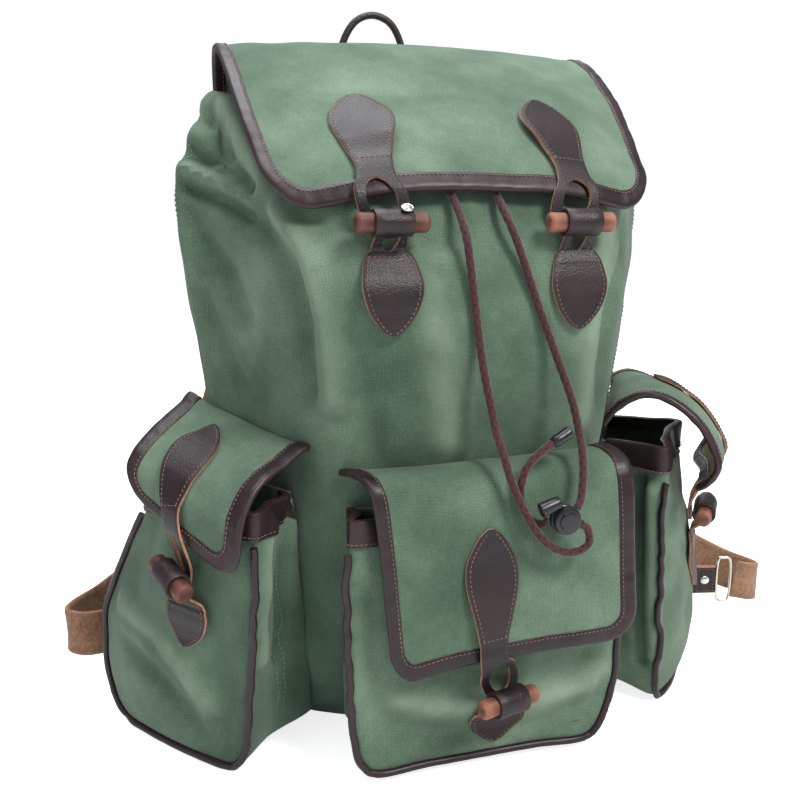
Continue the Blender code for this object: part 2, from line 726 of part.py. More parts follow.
def against_body(pocket, body, point, clear):
    """Keep a point of a pocket or flap outside the body, judged over a small patch round it."""
    outward = -pocket.inward
    needed = 0.0
    for side, rise in ((0, 0), (1, 0), (-1, 0), (0, 1), (0, -1)):
        near = point + pocket.along * side * PROBE_STEP + np.array((0.0, 0.0, rise * PROBE_STEP))
        hit = body.ray_cast(Vector(near + outward * FAR_PROBE), Vector(pocket.inward), FAR_PROBE + clear)[0]
        if hit is not None:
            needed = max(needed, float(np.dot(np.array(hit) - point, outward)) + clear)
    return point + outward * needed


def pocket_frames():
    x, y = SIDE_POCKET_CORNER
    left_turn, right_turn = radians(34), radians(38)
    left = Pocket("side_pocket_left", (-x, y), (-sin(left_turn), cos(left_turn)),
                  (cos(left_turn), sin(left_turn)), SIDE_POCKET_ROWS, SIDE_POCKET_SEATS)
    right = Pocket("side_pocket_right", (x, y), (sin(right_turn), cos(right_turn)),
                   (-cos(right_turn), sin(right_turn)), SIDE_POCKET_ROWS, SIDE_POCKET_SEATS,
                   RIGHT_MOUTH_Z - LEFT_MOUTH_Z, RIGHT_FULLNESS)
    front = Pocket("front_pocket", FRONT_POCKET_CENTRE, (1.0, 0.0), (0.0, 1.0),
                   FRONT_POCKET_ROWS, FRONT_POCKET_SEATS)
    return left, right, front


def pocket_rings(pocket, body):
    rings = []
    first, last = pocket.seats
    for z, start, end, bulge, swell in pocket.rows:
        seat = [first + (last - first) * k / 4 for k in range(5)]
        depth = [pocket.seat_depth(body, s, z) for s in seat]
        lift = POCKET_LIFT * max(0.0, 1.0 - z / 0.06)
        middle = (start + end) / 2
        bulge *= pocket.fullness if bulge > 0 else 1.0
        path = [(s, q, z + lift) for s, q in zip(seat, depth)]
        path += [
            (0.5 * (end + last) + swell / pocket.fullness**2, 0.5 * depth[-1], z + 0.5 * lift),
            (end + 0.25 * swell / pocket.fullness**2, 0.10 * depth[-1], z),
            (end - 0.006, -0.001, z),
            (0.5 * (end + middle), -0.8 * bulge, z),
            (middle, -bulge, z),
            (0.5 * (start + middle), -0.8 * bulge, z),
            (start + 0.006, -0.001, z),
            (start, 0.10 * depth[0], z),
            (0.5 * (start + first) + 0.004, 0.5 * depth[0], z + 0.5 * lift),
        ]
        ring = even_points(path, POCKET_SIDES, closed=True)
        rings.append([against_body(pocket, body, pocket.world(*p), SEAT_CLEAR) for p in ring])
    return rings


def build_pocket(pocket, body):
    rings = pocket_rings(pocket, body)
    inner = (0, 2, 3, 5, 7)
    return hollow_shell(pocket.name, rings, POCKET_WALL, inner, "canvas")


def build_piping(pocket, body):
    """The corded seam down both edges and along the foot of a pocket's face."""
    clear = PIPING_RADIUS + PIPING_GAP
    flat = []
    for ring in pocket_rings(pocket, body):
        from_corner = np.array(ring) - pocket.corner
        flat.append((from_corner @ pocket.along, from_corner @ pocket.inward, ring[0][2]))
    fronts, rears = [], []
    for k, (s, q, _) in enumerate(flat):
        z = pocket.rows[k][0]
        for found, slant in ((fronts, -1.0), (rears, 1.0)):
            best = int(np.argmax(slant * s - q))
            found.append((s[best] + slant * clear * 0.71, q[best] - clear * 0.71, z))
    s, q, _ = flat[PIPING_FOOT_ROW]
    first, last = fronts[PIPING_FOOT_ROW], rears[PIPING_FOOT_ROW]
    foot = []
    for share in (0.12, 0.3, 0.5, 0.7, 0.88):
        along = first[0] + (last[0] - first[0]) * share
        near = q[np.abs(s - along) < PIPING_REACH].min()
        foot.append((along, near - clear, 0.0))
    top = pocket.rows[-1][0] - MOUTH_BAND - PIPING_TOP_GAP
    for found in (fronts, rears):
        above, below = found[-1], found[-2]
        share = (top - below[2]) / (above[2] - below[2])
        found[-1] = tuple(b + (a - b) * share for a, b in zip(above, below))
    points = fronts[:PIPING_FOOT_ROW:-1] + [(first[0], first[1], PIPING_LOW)] + foot
    points += [(last[0], last[1], PIPING_LOW)] + rears[PIPING_FOOT_ROW + 1:]
    low = max(PIPING_LOW, pocket.rows[0][0] - PIPING_UNDERCUT)
    path = even_points([pocket.world(*p) for p in points], PIPING_STATIONS)
    face = surface_of(bpy.data.objects[pocket.name])
    for _ in range(3):
        for k, point in enumerate(path):
            hit, _, _, distance = face.find_nearest(Vector(point))
            if distance < clear:
                path[k] = np.array(hit) + unit(point - np.array(hit)) * clear
        path[:, 2] = np.maximum(path[:, 2], low)
    frames = path_frames(path, pocket.inward)
    return swept(pocket.name + "_piping", frames, round_outline(PIPING_RADIUS, 5), "leather")


def build_mouth_binding(pocket, body):
    """A leather band round the outside of the pocket's open rim."""
    ring = np.array(pocket_rings(pocket, body)[-1])
    below = np.array(pocket_rings(pocket, body)[-2])
    sides = len(ring)
    edge_normals = np.cross(np.roll(ring, -1, axis=0) - ring, (0.0, 0.0, 1.0))
    edge_normals /= np.linalg.norm(edge_normals, axis=1)[:, None]
    outward = edge_normals + np.roll(edge_normals, 1, axis=0)
    outward /= (outward * edge_normals).sum(axis=1)[:, None]
    if ((ring - ring.mean(axis=0)) * outward).sum() < 0:
        outward = -outward
    keep = [k for k in range(sides) if body.find_nearest(Vector(ring[k]))[3] > BAND_CLEAR]
    split = next(n for n in range(len(keep)) if (keep[n] - keep[n - 1]) % sides > 1)
    keep = keep[split:] + keep[:split]
    band = []
    for k in keep:
        fall = (below[k] - ring[k]) / abs(below[k][2] - ring[k][2])
        foot = ring[k] + fall * MOUTH_BAND
        top = ring[k] + np.array((0.0, 0.0, BAND_RISE))
        near, far = BAND_GAP, BAND_GAP + BAND_THICKNESS
        band.append([foot + outward[k] * near, foot + outward[k] * far,
                     top + outward[k] * far, top + outward[k] * near])
    verts = [v for row in band for v in row]
    faces = []
    for r in range(len(band) - 1):
        for i in range(4):
            j = (i + 1) % 4
            faces.append((r * 4 + i, r * 4 + j, r * 4 + 4 + j, r * 4 + 4 + i))
    faces.append((0, 1, 2, 3))
    faces.append(tuple(range(len(verts) - 4, len(verts))))
    return make_object(pocket.name.replace("pocket", "mouth") + "_binding", verts, faces, "leather")


def flap_sheet(pocket, table, body):
    columns = []
    for seam_s, hem_s, profile in table:
        slide = seam_s + (hem_s - seam_s) * np.linspace(0.0, 1.0, len(profile))
        shift = pocket.seat_depth(body, seam_s, profile[0][1]) - FLAP_SEAM_GAP - profile[0][0]
        pulled = [q + shift * share for (q, _), share in zip(profile, (1.0, 0.4, 0, 0, 0, 0, 0))]
        columns.append([pocket.world(s, q, z) for s, q, (_, z) in zip(slide, pulled, profile)])
    width = abs(table[-1][1] - table[0][1])
    length = curve_length(columns[1])
    inner = net_sheet(columns, width, length)
    _, normal, _ = inner(0.0, length * 0.8)
    sign = -1.0 if float(np.dot(normal, pocket.inward)) > 0 else 1.0

    mouth = pocket.name.replace("pocket", "mouth") + "_binding"
    hosts = surfaces(pocket.name, pocket.name + "_piping", mouth)
    clear = BINDING_THICKNESS / 2 + 2 * SEAT_GAP

    def place(x, y):
        here, facing, across = inner(x, y)
        facing = facing * sign
        needed = 0.0
        for dx, dy in ((0, 0), (1, 0), (-1, 0), (0, 1), (0, -1)):
            near = inner(x + dx * FLAP_PROBE_STEP, y + dy * FLAP_PROBE_STEP)[0]
            needed = max(needed, push_needed(near, facing, hosts, clear))
        return against_body(pocket, body, here + facing * needed, FLAP_SEAM_GAP), facing, across

    return place, width, length


def build_flap(pocket, table, body):
    place, width, length = flap_sheet(pocket, table, body)
    name = pocket.name.replace("pocket", "flap")
    sheet = (place, width, length, FLAP_CORNER)
    sheet_panel(name, *sheet, PANEL_INSET, FLAP_THICKNESS, FLAP_COLUMNS, FLAP_SIDE_COUNT, "canvas")
    sheet_binding(name + "_binding", *sheet, FLAP_SIDE_COUNT, "leather")
    return place, length


# Fasteners: a leather tab with a loop, a wooden toggle in a leather wrap, and a stitched patch

def turned(name, centre, axis, up, stations, sides, finish):
    side = np.cross(axis, up)
    verts = []
    for x, radius in stations:
        for k in range(sides):
            a = 2 * pi * k / sides
            verts.append(np.array(centre) + axis * x + up * radius * cos(a) + side * radius * sin(a))
    faces = []
    for r in range(len(stations) - 1):
        for k in range(sides):
            j = (k + 1) % sides
            faces.append((r * sides + k, r * sides + j, (r + 1) * sides + j, (r + 1) * sides + k))
    faces.append(tuple(range(sides)))
    faces.append(tuple(range((len(stations) - 1) * sides, len(stations) * sides)))
    return make_object(name, verts, faces, finish)


def build_toggle(name, centre, axis, up):
    half = TOGGLE_LENGTH / 2
    stations = (
        (-half, TOGGLE_RADIUS - TOGGLE_CHAMFER), (-half + TOGGLE_CHAMFER, TOGGLE_RADIUS),
        (half - TOGGLE_CHAMFER, TOGGLE_RADIUS), (half, TOGGLE_RADIUS - TOGGLE_CHAMFER),
    )
    return turned(name, centre, axis, up, stations, TOGGLE_SIDES, "wood")


def build_wrap(name, centre, axis, up):
    outer = WRAP_OUTER
    inner = outer - WRAP_WALL
    half = WRAP_LENGTH / 2
    outline = ((-half, inner), (-half, outer), (half, outer), (half, inner))
    side = np.cross(axis, up)
    frames = []
    for k in range(TOGGLE_SIDES):
        a = 2 * pi * k / TOGGLE_SIDES
        frames.append((centre, axis, up * cos(a) + side * sin(a)))
    return swept(name, frames, outline, "leather", closed=True)


def strip_along(centres, hints, rows, outward):
    """Sample a strip's centre line at each row's distance."""
    path = even_points(centres, 240)
    hint_path = even_points(hints, 240)
    run = np.concatenate([[0.0], np.cumsum(np.linalg.norm(np.diff(path, axis=0), axis=1))])
    tangents = np.gradient(path, axis=0)
    points, across, normals = [], [], []
    for distance, _, _, _ in rows:
        k = int(np.argmin(np.abs(run - min(distance, run[-1]))))
        tangent = unit(tangents[k])
        side = unit(hint_path[k] - tangent * np.dot(hint_path[k], tangent))
        points.append(path[k])
        across.append(side)
        normal = np.cross(side, tangent)
        normals.append(normal if np.dot(normal, outward) > 0 else -normal)
    return points, across, normals


def lifted(points, sides, normals, rows, hosts):
    """Raise a strip's stations so that its full width clears what lies under it."""
    raised = []
    clear = SEAT_GAP + LEATHER / 2 + STRIP_MARGIN
    for point, side, normal, row in zip(points, sides, normals, rows):
        needed = 0.0
        for x in (-row[1], 0.0, row[1]):
            for step in (-PROBE_STEP, 0.0, PROBE_STEP):
                near = point + side * x + np.cross(normal, side) * step
                needed = max(needed, push_needed(near, normal, hosts, clear))
        raised.append(point + normal * needed)
    return raised


def build_tab(name, sheet, tab, toggle, axis, outward, hosts):
    """The tab runs down its sheet to the hem, then hangs as a loop behind the toggle."""
    place, length = sheet
    tip, tip_x, hem_x, breadth = tab
    start = length * tip
    lift = SEAT_GAP + LEATHER / 2
    centres, hints = [], []
    for k in range(7):
        share = k / 6
        x = tip_x + (hem_x - tip_x) * share
        here, normal, across = place(x, start + (length - 0.001 - start) * share)
        extra = (BINDING_THICKNESS - FLAP_THICKNESS) / 2 + TAB_EDGE_RISE if k >= 4 else 0.0
        centres.append(here + normal * (lift + extra))
        hints.append(across)
    behind = toggle - outward * (WRAP_OUTER + SEAT_GAP + LEATHER / 2 + TAB_STAND_OFF)
    centres.append(behind + np.array((0.0, 0.0, TAB_DROP[0])))
    centres.append(behind - np.array((0.0, 0.0, TAB_DROP[1])))
    hints += [axis, axis]
    total = curve_length(centres)
    scale = total / TAB_ROWS[-1][0]
    rows = [(d * scale, outer * breadth, eye * breadth, is_open) for d, outer, eye, is_open in TAB_ROWS]
    points, sides, normals = strip_along(centres, hints, rows, outward)
    points = lifted(points, sides, normals, rows, hosts)
    return pierced_strip(name, points, sides, normals, rows, LEATHER, "leather")


def build_patch(name, host, toggle, axis, across, outward, drop, length):
    """Two thongs come down from the toggle's wrap to a stitched shield on the cloth."""
    down = np.array((0.0, 0.0, -1.0))
    dip = abs(float(axis[2])) * PATCH_ROWS[0][1]
    centres = [toggle + down * (WRAP_OUTER + 2 * SEAT_GAP + dip) - outward * 0.001]
    reach = PATCH_ROWS[-1][0]
    for k in range(7):
        z = drop + length * k / 6
        start = toggle + outward * 0.04
        start[2] = toggle[2] - z
        depths = []
        for x in PATCH_PROBES:
            hit = host.ray_cast(Vector(start + across * x), Vector(-outward))[0]
            depths.append(np.dot(np.array(hit), outward))
        middle = start + outward * (max(depths) - np.dot(start, outward))
        centres.append(middle + outward * (SEAT_GAP + LEATHER / 2))
    hints = [across] * len(centres)
    total = curve_length(centres)
    first = PATCH_ROWS[1][0]
    thong = float(np.linalg.norm(centres[1] - centres[0]))
    rows = []
    for d, outer, eye, is_open in PATCH_ROWS:
        along = d / first * thong if d <= first else thong + (d - first) * (total - thong) / (reach - first)
        rows.append((along, outer, eye, is_open))
    points, sides, normals = strip_along(centres, hints, rows, outward)
    points[2:] = lifted(points[2:], sides[2:], normals[2:], rows[2:], [host])
    return pierced_strip(name, points, sides, normals, rows, LEATHER, "leather")


def build_pocket_fastener(pocket, flap):
    """The fastener of a pocket's flap; its toggle lies against the pocket's face."""
    s, z, stand_off, turn, dip, drop, length = POCKET_TOGGLES[pocket.name]
    face = surface_of(bpy.data.objects[pocket.name])
    up = np.array((0.0, 0.0, 1.0))
    outward = -pocket.inward
    level = pocket.along * cos(radians(turn)) + pocket.inward * sin(radians(turn))
    axis = unit(level * cos(radians(dip)) - up * sin(radians(dip)))
    hit = face.ray_cast(Vector(pocket.world(s, -0.080, z)), Vector(pocket.inward))[0]
    toggle = np.array(hit) + outward * stand_off
    flap_name = pocket.name.replace("pocket", "flap")
    label = pocket.name.replace("_pocket", "")
    hosts = [face] + surfaces(flap_name, flap_name + "_binding")
    build_tab(label + "_tab", flap, POCKET_TABS[pocket.name], toggle, axis, outward, hosts)
    build_toggle(label + "_toggle", toggle, axis, unit(up - axis * axis[2]))
    build_wrap(label + "_wrap", toggle, axis, unit(up - axis * axis[2]))
    build_patch(label + "_patch", face, toggle, axis, pocket.along, outward, drop, length)


def build_lid_fastener(label, side, hosts):
    """One of the two fasteners that hold the lid's front edge."""
    place, _, length = lid_sheet()
    across = np.array((1.0, 0.0, 0.0))
    outward = np.array((0.0, -1.0, 0.0))
    up = np.array((0.0, 0.0, 1.0))
    toggle = np.array((side * LID_TOGGLE_X, LID_TOGGLE_Y, LID_TOGGLE_Z))
    tab = (LID_TAB_TIP, side * LID_TAB_X[0], side * LID_TAB_X[1], 1.0)
    build_tab("lid_tab_" + label, (place, length), tab, toggle, across, outward, hosts)
    build_toggle("lid_toggle_" + label, toggle, across, up)
    build_wrap("lid_wrap_" + label, toggle, across, up)
    build_patch("lid_patch_" + label, hosts[0], toggle, across, across, outward, *LID_PATCH)


# The drawcord with its lock and ends

def build_cord(name, route):
    length = curve_length(route)
    count = max(8, min(78, int(length / CORD_STEP)))
    path = even_points(route, count)
    curve = bpy.data.curves.new(name, "CURVE")
    curve.dimensions = "3D"
    spline = curve.splines.new("POLY")
    spline.points.add(count - 1)
    for k, point in enumerate(path):
        spline.points[k].co = (*(float(c) for c in point), 1.0)
    curve.bevel_depth = CORD_RADIUS
    curve.bevel_resolution = 2
    curve.use_fill_caps = True
    cord = bpy.data.objects.new(name, curve)
    bpy.context.collection.objects.link(cord)
    curve.materials.append(own_material(name, "cord"))
    return cord


def build_cord_set():
    build_cord("drawcord_left", CORD_LEFT)
    build_cord("drawcord_right", CORD_RIGHT)
    build_cord("drawcord_tail", CORD_TAIL)
    front = np.array((0.0, -1.0, 0.0))
    up = np.array((0.0, 0.0, 1.0))
    r = CORD_LOCK_RADIUS
    d = CORD_LOCK_DEPTH / 2
    edge = CORD_LOCK_EDGE
    barrel = ((-d, r - edge), (-d + edge, r), (d - edge, r), (d, r - edge))
    turned("cord_lock", CORD_LOCK_CENTRE, front, up, barrel, 14, "plastic")
    tail = np.array(CORD_TAIL[-1])
    way = unit(tail - np.array(CORD_TAIL[-2]))
    turned("cord_end_upper", tail + way * CORD_END_GAP, way, unit(np.cross(way, front)),
           CORD_END_UPPER_SHAPE, 10, "plastic")
    turned("cord_end_lower", CORD_END_LOWER, np.array(CORD_END_WAY), np.array(CORD_END_UP),
           CORD_END_LOWER_SHAPE, 10, "plastic")


# Carrying gear

def flat_outline(width, thickness):
    x, y = width / 2, thickness / 2
    return ((-x, -y), (x, -y), (x, y), (-x, y))


def build_haul_loop():
    path = even_points(HAUL_POINTS, 16)
    swept("haul_loop", path_frames(path, (0.0, 1.0, 0.0)), round_outline(HAUL_RADIUS, 6), "leather")


def strap_hints(points):
    """The strap lies flat against the back at its top and stands on edge at its lower end."""
    hints = []
    side = np.sign(points[0][0])
    for k in range(len(points)):
        t = min(max((k - 1) / 5, 0.0), 1.0)
        hints.append(np.array((side, 0.0, 0.0)) * (1 - t) + np.array((0.0, 0.0, 1.0)) * t)
    return hints


def build_strap(name, route):
    path = even_points(route, STRAP_STATIONS)
    hints = even_points(strap_hints(route), STRAP_STATIONS)
    return swept(name, path_frames(path, hints), flat_outline(STRAP_WIDTH, STRAP_THICKNESS), "suede")


def build_wing(label, side, tip, body):
    """A canvas triangle from the body's side near its back to the anchor."""
    up = np.array((0.0, 0.0, 1.0))
    outward = np.array((side, 0.0, 0.0))
    roots, tips = [], []
    for k in range(WING_ROWS + 1):
        share = k / WING_ROWS
        z = WING_LOW + (WING_HIGH - WING_LOW) * share
        y = WING_ROOT_Y[0] + (WING_ROOT_Y[1] - WING_ROOT_Y[0]) * share
        start = Vector((side * 0.25, y, z))
        hit = body.ray_cast(start, Vector(-outward))[0]
        roots.append(np.array(hit) + outward * WING_GAP)
        tips.append(np.array((tip[0], tip[1], tip[2] - ANCHOR_WIDTH / 2 + ANCHOR_WIDTH * share)))
    way = unit(tips[0] - roots[0])
    flat = np.cross(way, up)
    flat = unit(flat) * WING_THICKNESS / 2
    verts = []
    for root, end in zip(roots, tips):
        verts += [root + flat, end + flat, end - flat, root - flat]
    faces = [(0, 1, 2, 3), tuple(range(len(verts) - 4, len(verts)))]
    for r in range(WING_ROWS):
        for i in range(4):
            j = (i + 1) % 4
            faces.append((r * 4 + i, r * 4 + j, r * 4 + 4 + j, r * 4 + 4 + i))
    return make_object("strap_wing_" + label, verts, faces, "canvas")


def build_anchor(label, side, route, body):
    """The strap's end, its wire ring, a doubled leather tab and the canvas wing, in a row."""
    up = np.array((0.0, 0.0, 1.0))
    end = np.array(route[-1])
    way = unit((end - np.array(route[-2])) * np.array((1.0, 1.0, 0.0)))
    normal = np.cross(way, up)
    outer_bar = end + way * (RING_RADIUS + RING_GAP)
    wire = []
    for x, z in RING_CORNERS:
        wire.append(outer_bar + way * x + up * z)
    loop = even_points(wire, 16, closed=True)
    middle = loop.mean(axis=0)
    frames = [(point, unit(point - middle), normal) for point in loop]
    swept("strap_ring_" + label, frames, round_outline(RING_RADIUS, 5), "nickel", closed=True)
    reach = float(max(np.dot(loop - outer_bar, way)))
    start = outer_bar + way * (reach + RING_RADIUS + ANCHOR_GAP)
    tab_end = start + way * ANCHOR_LENGTH
    frames = [(start, up, normal), (tab_end, up, normal)]
    outline = flat_outline(ANCHOR_WIDTH - ANCHOR_EASE, ANCHOR_THICKNESS)
    swept("strap_anchor_" + label, frames, outline, "leather")
    build_wing(label, side, tab_end + way * WING_TIP_GAP, body)


def clear_scene():
    for item in list(bpy.data.objects):
        bpy.data.objects.remove(item, do_unlink=True)


def main():
    clear_scene()
    body = surface_of(build_body())
    build_lid()
    build_haul_loop()
    left, right, front = pocket_frames()
    for pocket, table in ((left, LEFT_FLAP), (right, RIGHT_FLAP), (front, FRONT_FLAP)):
        build_pocket(pocket, body)
        build_piping(pocket, body)
        build_mouth_binding(pocket, body)
        build_pocket_fastener(pocket, build_flap(pocket, table, body))
    lid_hosts = [body] + surfaces("lid", "lid_binding")
    build_lid_fastener("left", -1, lid_hosts)
    build_lid_fastener("right", 1, lid_hosts)
    build_cord_set()
    build_strap("shoulder_strap_right", STRAP_RIGHT)
    build_strap("shoulder_strap_left", STRAP_LEFT)
    build_anchor("right", 1, STRAP_RIGHT, body)
    build_anchor("left", -1, STRAP_LEFT, body)


main()
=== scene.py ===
# Canvas rucksack with leather trim, wooden toggles and a braided drawcord, dressed over its frame.
# Metres; the front faces -Y, +X is to the viewer's right, and the bag stands on z = 0.
import bpy
import bmesh
import json
import numpy as np
from math import cos, pi, radians, sin
from mathutils import Matrix, Vector
from mathutils.bvhtree import BVHTree

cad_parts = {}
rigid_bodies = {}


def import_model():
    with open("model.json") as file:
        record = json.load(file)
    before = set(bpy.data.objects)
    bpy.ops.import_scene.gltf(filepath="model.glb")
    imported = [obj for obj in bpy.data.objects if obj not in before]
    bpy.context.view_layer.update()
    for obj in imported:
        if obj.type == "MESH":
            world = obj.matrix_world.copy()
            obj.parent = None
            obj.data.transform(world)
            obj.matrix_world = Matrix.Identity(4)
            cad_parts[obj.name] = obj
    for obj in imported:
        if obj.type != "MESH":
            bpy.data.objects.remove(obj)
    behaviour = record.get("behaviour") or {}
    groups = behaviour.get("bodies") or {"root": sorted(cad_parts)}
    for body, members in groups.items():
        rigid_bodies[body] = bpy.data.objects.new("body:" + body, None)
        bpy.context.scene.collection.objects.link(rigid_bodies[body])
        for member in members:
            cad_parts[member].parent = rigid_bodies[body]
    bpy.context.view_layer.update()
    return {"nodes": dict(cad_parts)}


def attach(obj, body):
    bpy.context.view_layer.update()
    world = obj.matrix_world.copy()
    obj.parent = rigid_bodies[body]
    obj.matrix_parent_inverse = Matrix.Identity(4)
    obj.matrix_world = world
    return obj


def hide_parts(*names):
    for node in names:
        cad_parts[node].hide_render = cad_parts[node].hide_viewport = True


for spare in list(bpy.data.objects):
    bpy.data.objects.remove(spare, do_unlink=True)
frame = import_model()
print("frame loaded")

upWay = np.array((0.0, 0.0, 1.0))
frontWay = np.array((0.0, -1.0, 0.0))
crossSteps = ((0, 0), (1, 0), (-1, 0), (0, 1), (0, -1))


# Camera, matched to the viewing angle of the photograph

cameraValues = {"azimuth": -17.993, "elevation": 11.0, "roll": 0.058, "lens": 45.0,
                "place": (-0.253842, -0.705197, 0.385424)}


def buildCamera(values):
    turn, lift, roll = (radians(values[k]) for k in ("azimuth", "elevation", "roll"))
    back = Vector((sin(turn) * cos(lift), -cos(turn) * cos(lift), sin(lift)))
    side = (-back).cross(Vector((0.0, 0.0, 1.0))).normalized()
    top = side.cross(-back)
    across = side * cos(roll) + top * sin(roll)
    upright = top * cos(roll) - side * sin(roll)
    data = bpy.data.cameras.new("photoCamera")
    data.lens = values["lens"]
    data.sensor_width = 36.0
    data.clip_start = 0.01
    made = bpy.data.objects.new("photoCamera", data)
    bpy.context.scene.collection.objects.link(made)
    turned = Matrix((across, upright, back)).transposed().to_4x4()
    turned.translation = Vector(values["place"])
    made.matrix_world = turned
    bpy.context.scene.camera = made


buildCamera(cameraValues)


# Lines, frames and surfaces

def unit(vector):
    vector = np.asarray(vector, float)
    return vector / (np.linalg.norm(vector, axis=-1, keepdims=True) + 1e-12)


def smoothLine(points, count, closed=False, dense=24):
    points = np.array(points, float)
    if closed:
        padded = np.vstack([points[-1:], points, points[:2]])
    else:
        padded = np.vstack([2 * points[:1] - points[1:2], points, 2 * points[-1:] - points[-2:-1]])
    f = (np.arange(dense) / dense)[None, :, None]
    a, b, c, d = (p[:, None, :] for p in (padded[:-3], padded[1:-2], padded[2:-1], padded[3:]))
    line = 0.5 * (2 * b + (c - a) * f + (2 * a - 5 * b + 4 * c - d) * f**2
                  + (3 * b - a - 3 * c + d) * f**3)
    line = np.vstack([line.reshape(-1, points.shape[1]), points[:1] if closed else points[-1:]])
    run = np.concatenate([[0.0], np.cumsum(np.linalg.norm(np.diff(line, axis=0), axis=1))])
    wanted = np.linspace(0.0, run[-1], count + 1 if closed else count)
    even = np.stack([np.interp(wanted, run, line[:, k]) for k in range(line.shape[1])], 1)
    return even[:-1] if closed else even


# Tables are written in tenths of a millimetre
def metres(table):
    return tuple(metres(row) if isinstance(row, tuple) else row / 10000 for row in table)


def addObject(name, data):
    made = bpy.data.objects.new(name, data)
    bpy.context.scene.collection.objects.link(made)
    return made


def turnsOf(count):
    return np.linspace(0, 2 * pi, count, endpoint=False)


def girthOf(radius, count):
    return np.linspace(0, 2 * pi * radius, count + 1)


# Cloth coordinates from distances across and down a grid
def clothGrid(across, down):
    return np.stack(np.broadcast_arrays(across[None, :], down[:, None]), 2)


def runOf(points):
    return np.concatenate([[0.0], np.cumsum(np.linalg.norm(np.diff(points, axis=0), axis=1))])


def lineLength(points):
    return float(runOf(smoothLine(points, 300))[-1])


def lineFrames(path, hints):
    path = np.asarray(path, float)
    tangents = unit(np.gradient(path, axis=0))
    hints = np.broadcast_to(np.asarray(hints, float), path.shape)
    side = unit(hints - tangents * (hints * tangents).sum(1)[:, None])
    return tangents, side, np.cross(tangents, side)


def surfaceOf(made):
    return BVHTree.FromPolygons([v.co.copy() for v in made.data.vertices],
                                [tuple(p.vertices) for p in made.data.polygons])


def pushNeeded(point, outward, hosts, clear, probe=0.024):
    needed = 0.0
    start = Vector(point + outward * probe)
    for host in hosts:
        hit = host.ray_cast(start, Vector(-outward), probe + clear)[0]
        if hit is not None:
            needed = max(needed, float(np.dot(np.array(hit) - point, outward)) + clear)
    return needed


# Widen each need to its neighbours, then smooth it
def evened(values, reach):
    values = np.asarray(values, float)
    grown = np.array([values[max(0, k - reach):k + reach + 1].max() for k in range(len(values))])
    padded = np.pad(grown, reach, mode="edge")
    return np.convolve(padded, np.ones(2 * reach + 1) / (2 * reach + 1), mode="valid")


# A slow, even unevenness between -1 and 1 over a surface
def ripple(u, v, scale, seed):
    source = np.random.default_rng(seed)
    total = 0.0
    for _ in range(7):
        way = source.uniform(0, 2 * pi)
        pitch = source.uniform(0.7, 1.6) / scale
        start = source.uniform(0, 2 * pi)
        total = total + np.sin(2 * pi * pitch * (u * cos(way) + v * sin(way)) + start)
    return total / 4.0


# Distance of every point to a line laid on a surface
def nearLine(points, line, surface):
    flat = points.reshape(-1, 3)
    best = np.full(len(flat), 9.0)
    line = np.array([surface.find_nearest(Vector(p))[0] for p in smoothLine(line, 24)])
    for a, b in zip(line[:-1], line[1:]):
        way = b - a
        t = np.clip(((flat - a) @ way) / (way @ way), 0.0, 1.0)
        best = np.minimum(best, np.linalg.norm(flat - a - t[:, None] * way, axis=1))
    return best.reshape(points.shape[:-1])


# Gathers grids of points, then welds them into one closed piece
class Draft:
    def __init__(self):
        self.verts, self.faces, self.uvs, self.kinds, self.worn = [], [], [], [], []

    def grid(self, points, uv, kind=0, wrap=False, worn=None):
        points = np.asarray(points, float)
        rows, columns = points.shape[:2]
        base = len(self.verts)
        self.verts.extend(points.reshape(-1, 3).tolist())
        worn = np.zeros((rows, columns)) if worn is None else np.broadcast_to(worn, (rows, columns))
        for i in range(rows - 1):
            for j in range(columns if wrap else columns - 1):
                k = (j + 1) % columns
                a, b = base + i * columns, base + (i + 1) * columns
                self.faces.append((a + j, a + k, b + k, b + j))
                self.uvs += [uv[i][j], uv[i][j + 1], uv[i + 1][j + 1], uv[i + 1][j]]
                self.worn += [worn[i][j], worn[i][k], worn[i + 1][k], worn[i + 1][j]]
                self.kinds.append(kind)

    # Closes a ring of points towards its middle
    def cap(self, ring, kind=0):
        ring = np.asarray(ring, float)
        middle = ring.mean(axis=0)
        rows = [ring, middle + (ring - middle) * 0.5, np.repeat(middle[None], len(ring), 0)]
        size = float(np.linalg.norm(ring - middle, axis=1).mean())
        turns = np.linspace(0, 2 * pi, len(ring) + 1)
        uv = [np.stack([np.cos(turns) * size * k, np.sin(turns) * size * k], 1) for k in (1, 0.5, 0)]
        self.grid(np.array(rows), uv, kind, wrap=True)

    def close(self, name, materials, sharp=40.0, weld=2e-6):
        mesh = bpy.data.meshes.new(name)
        mesh.from_pydata(self.verts, [], self.faces)
        mesh.uv_layers.new(name="cloth").data.foreach_set("uv", np.array(self.uvs, float).ravel())
        # The worn layer carries wear, and on the cord the strand height that paints shade into the
        # braid's grooves.
        worn = np.array(self.worn, float)
        mesh.uv_layers.new(name="worn").data.foreach_set("uv", np.stack([worn, worn * 0], 1).ravel())
        mesh.polygons.foreach_set("material_index", np.array(self.kinds, np.int32))
        shell = bmesh.new()
        shell.from_mesh(mesh)
        bmesh.ops.remove_doubles(shell, verts=shell.verts, dist=weld)
        bmesh.ops.recalc_face_normals(shell, faces=shell.faces)
        shell.to_mesh(mesh)
        shell.free()
        mesh.shade_smooth()
        mesh.set_sharp_from_angle(angle=radians(sharp))
        made = addObject(name, mesh)
        for material in materials:
            mesh.materials.append(material)
        return made


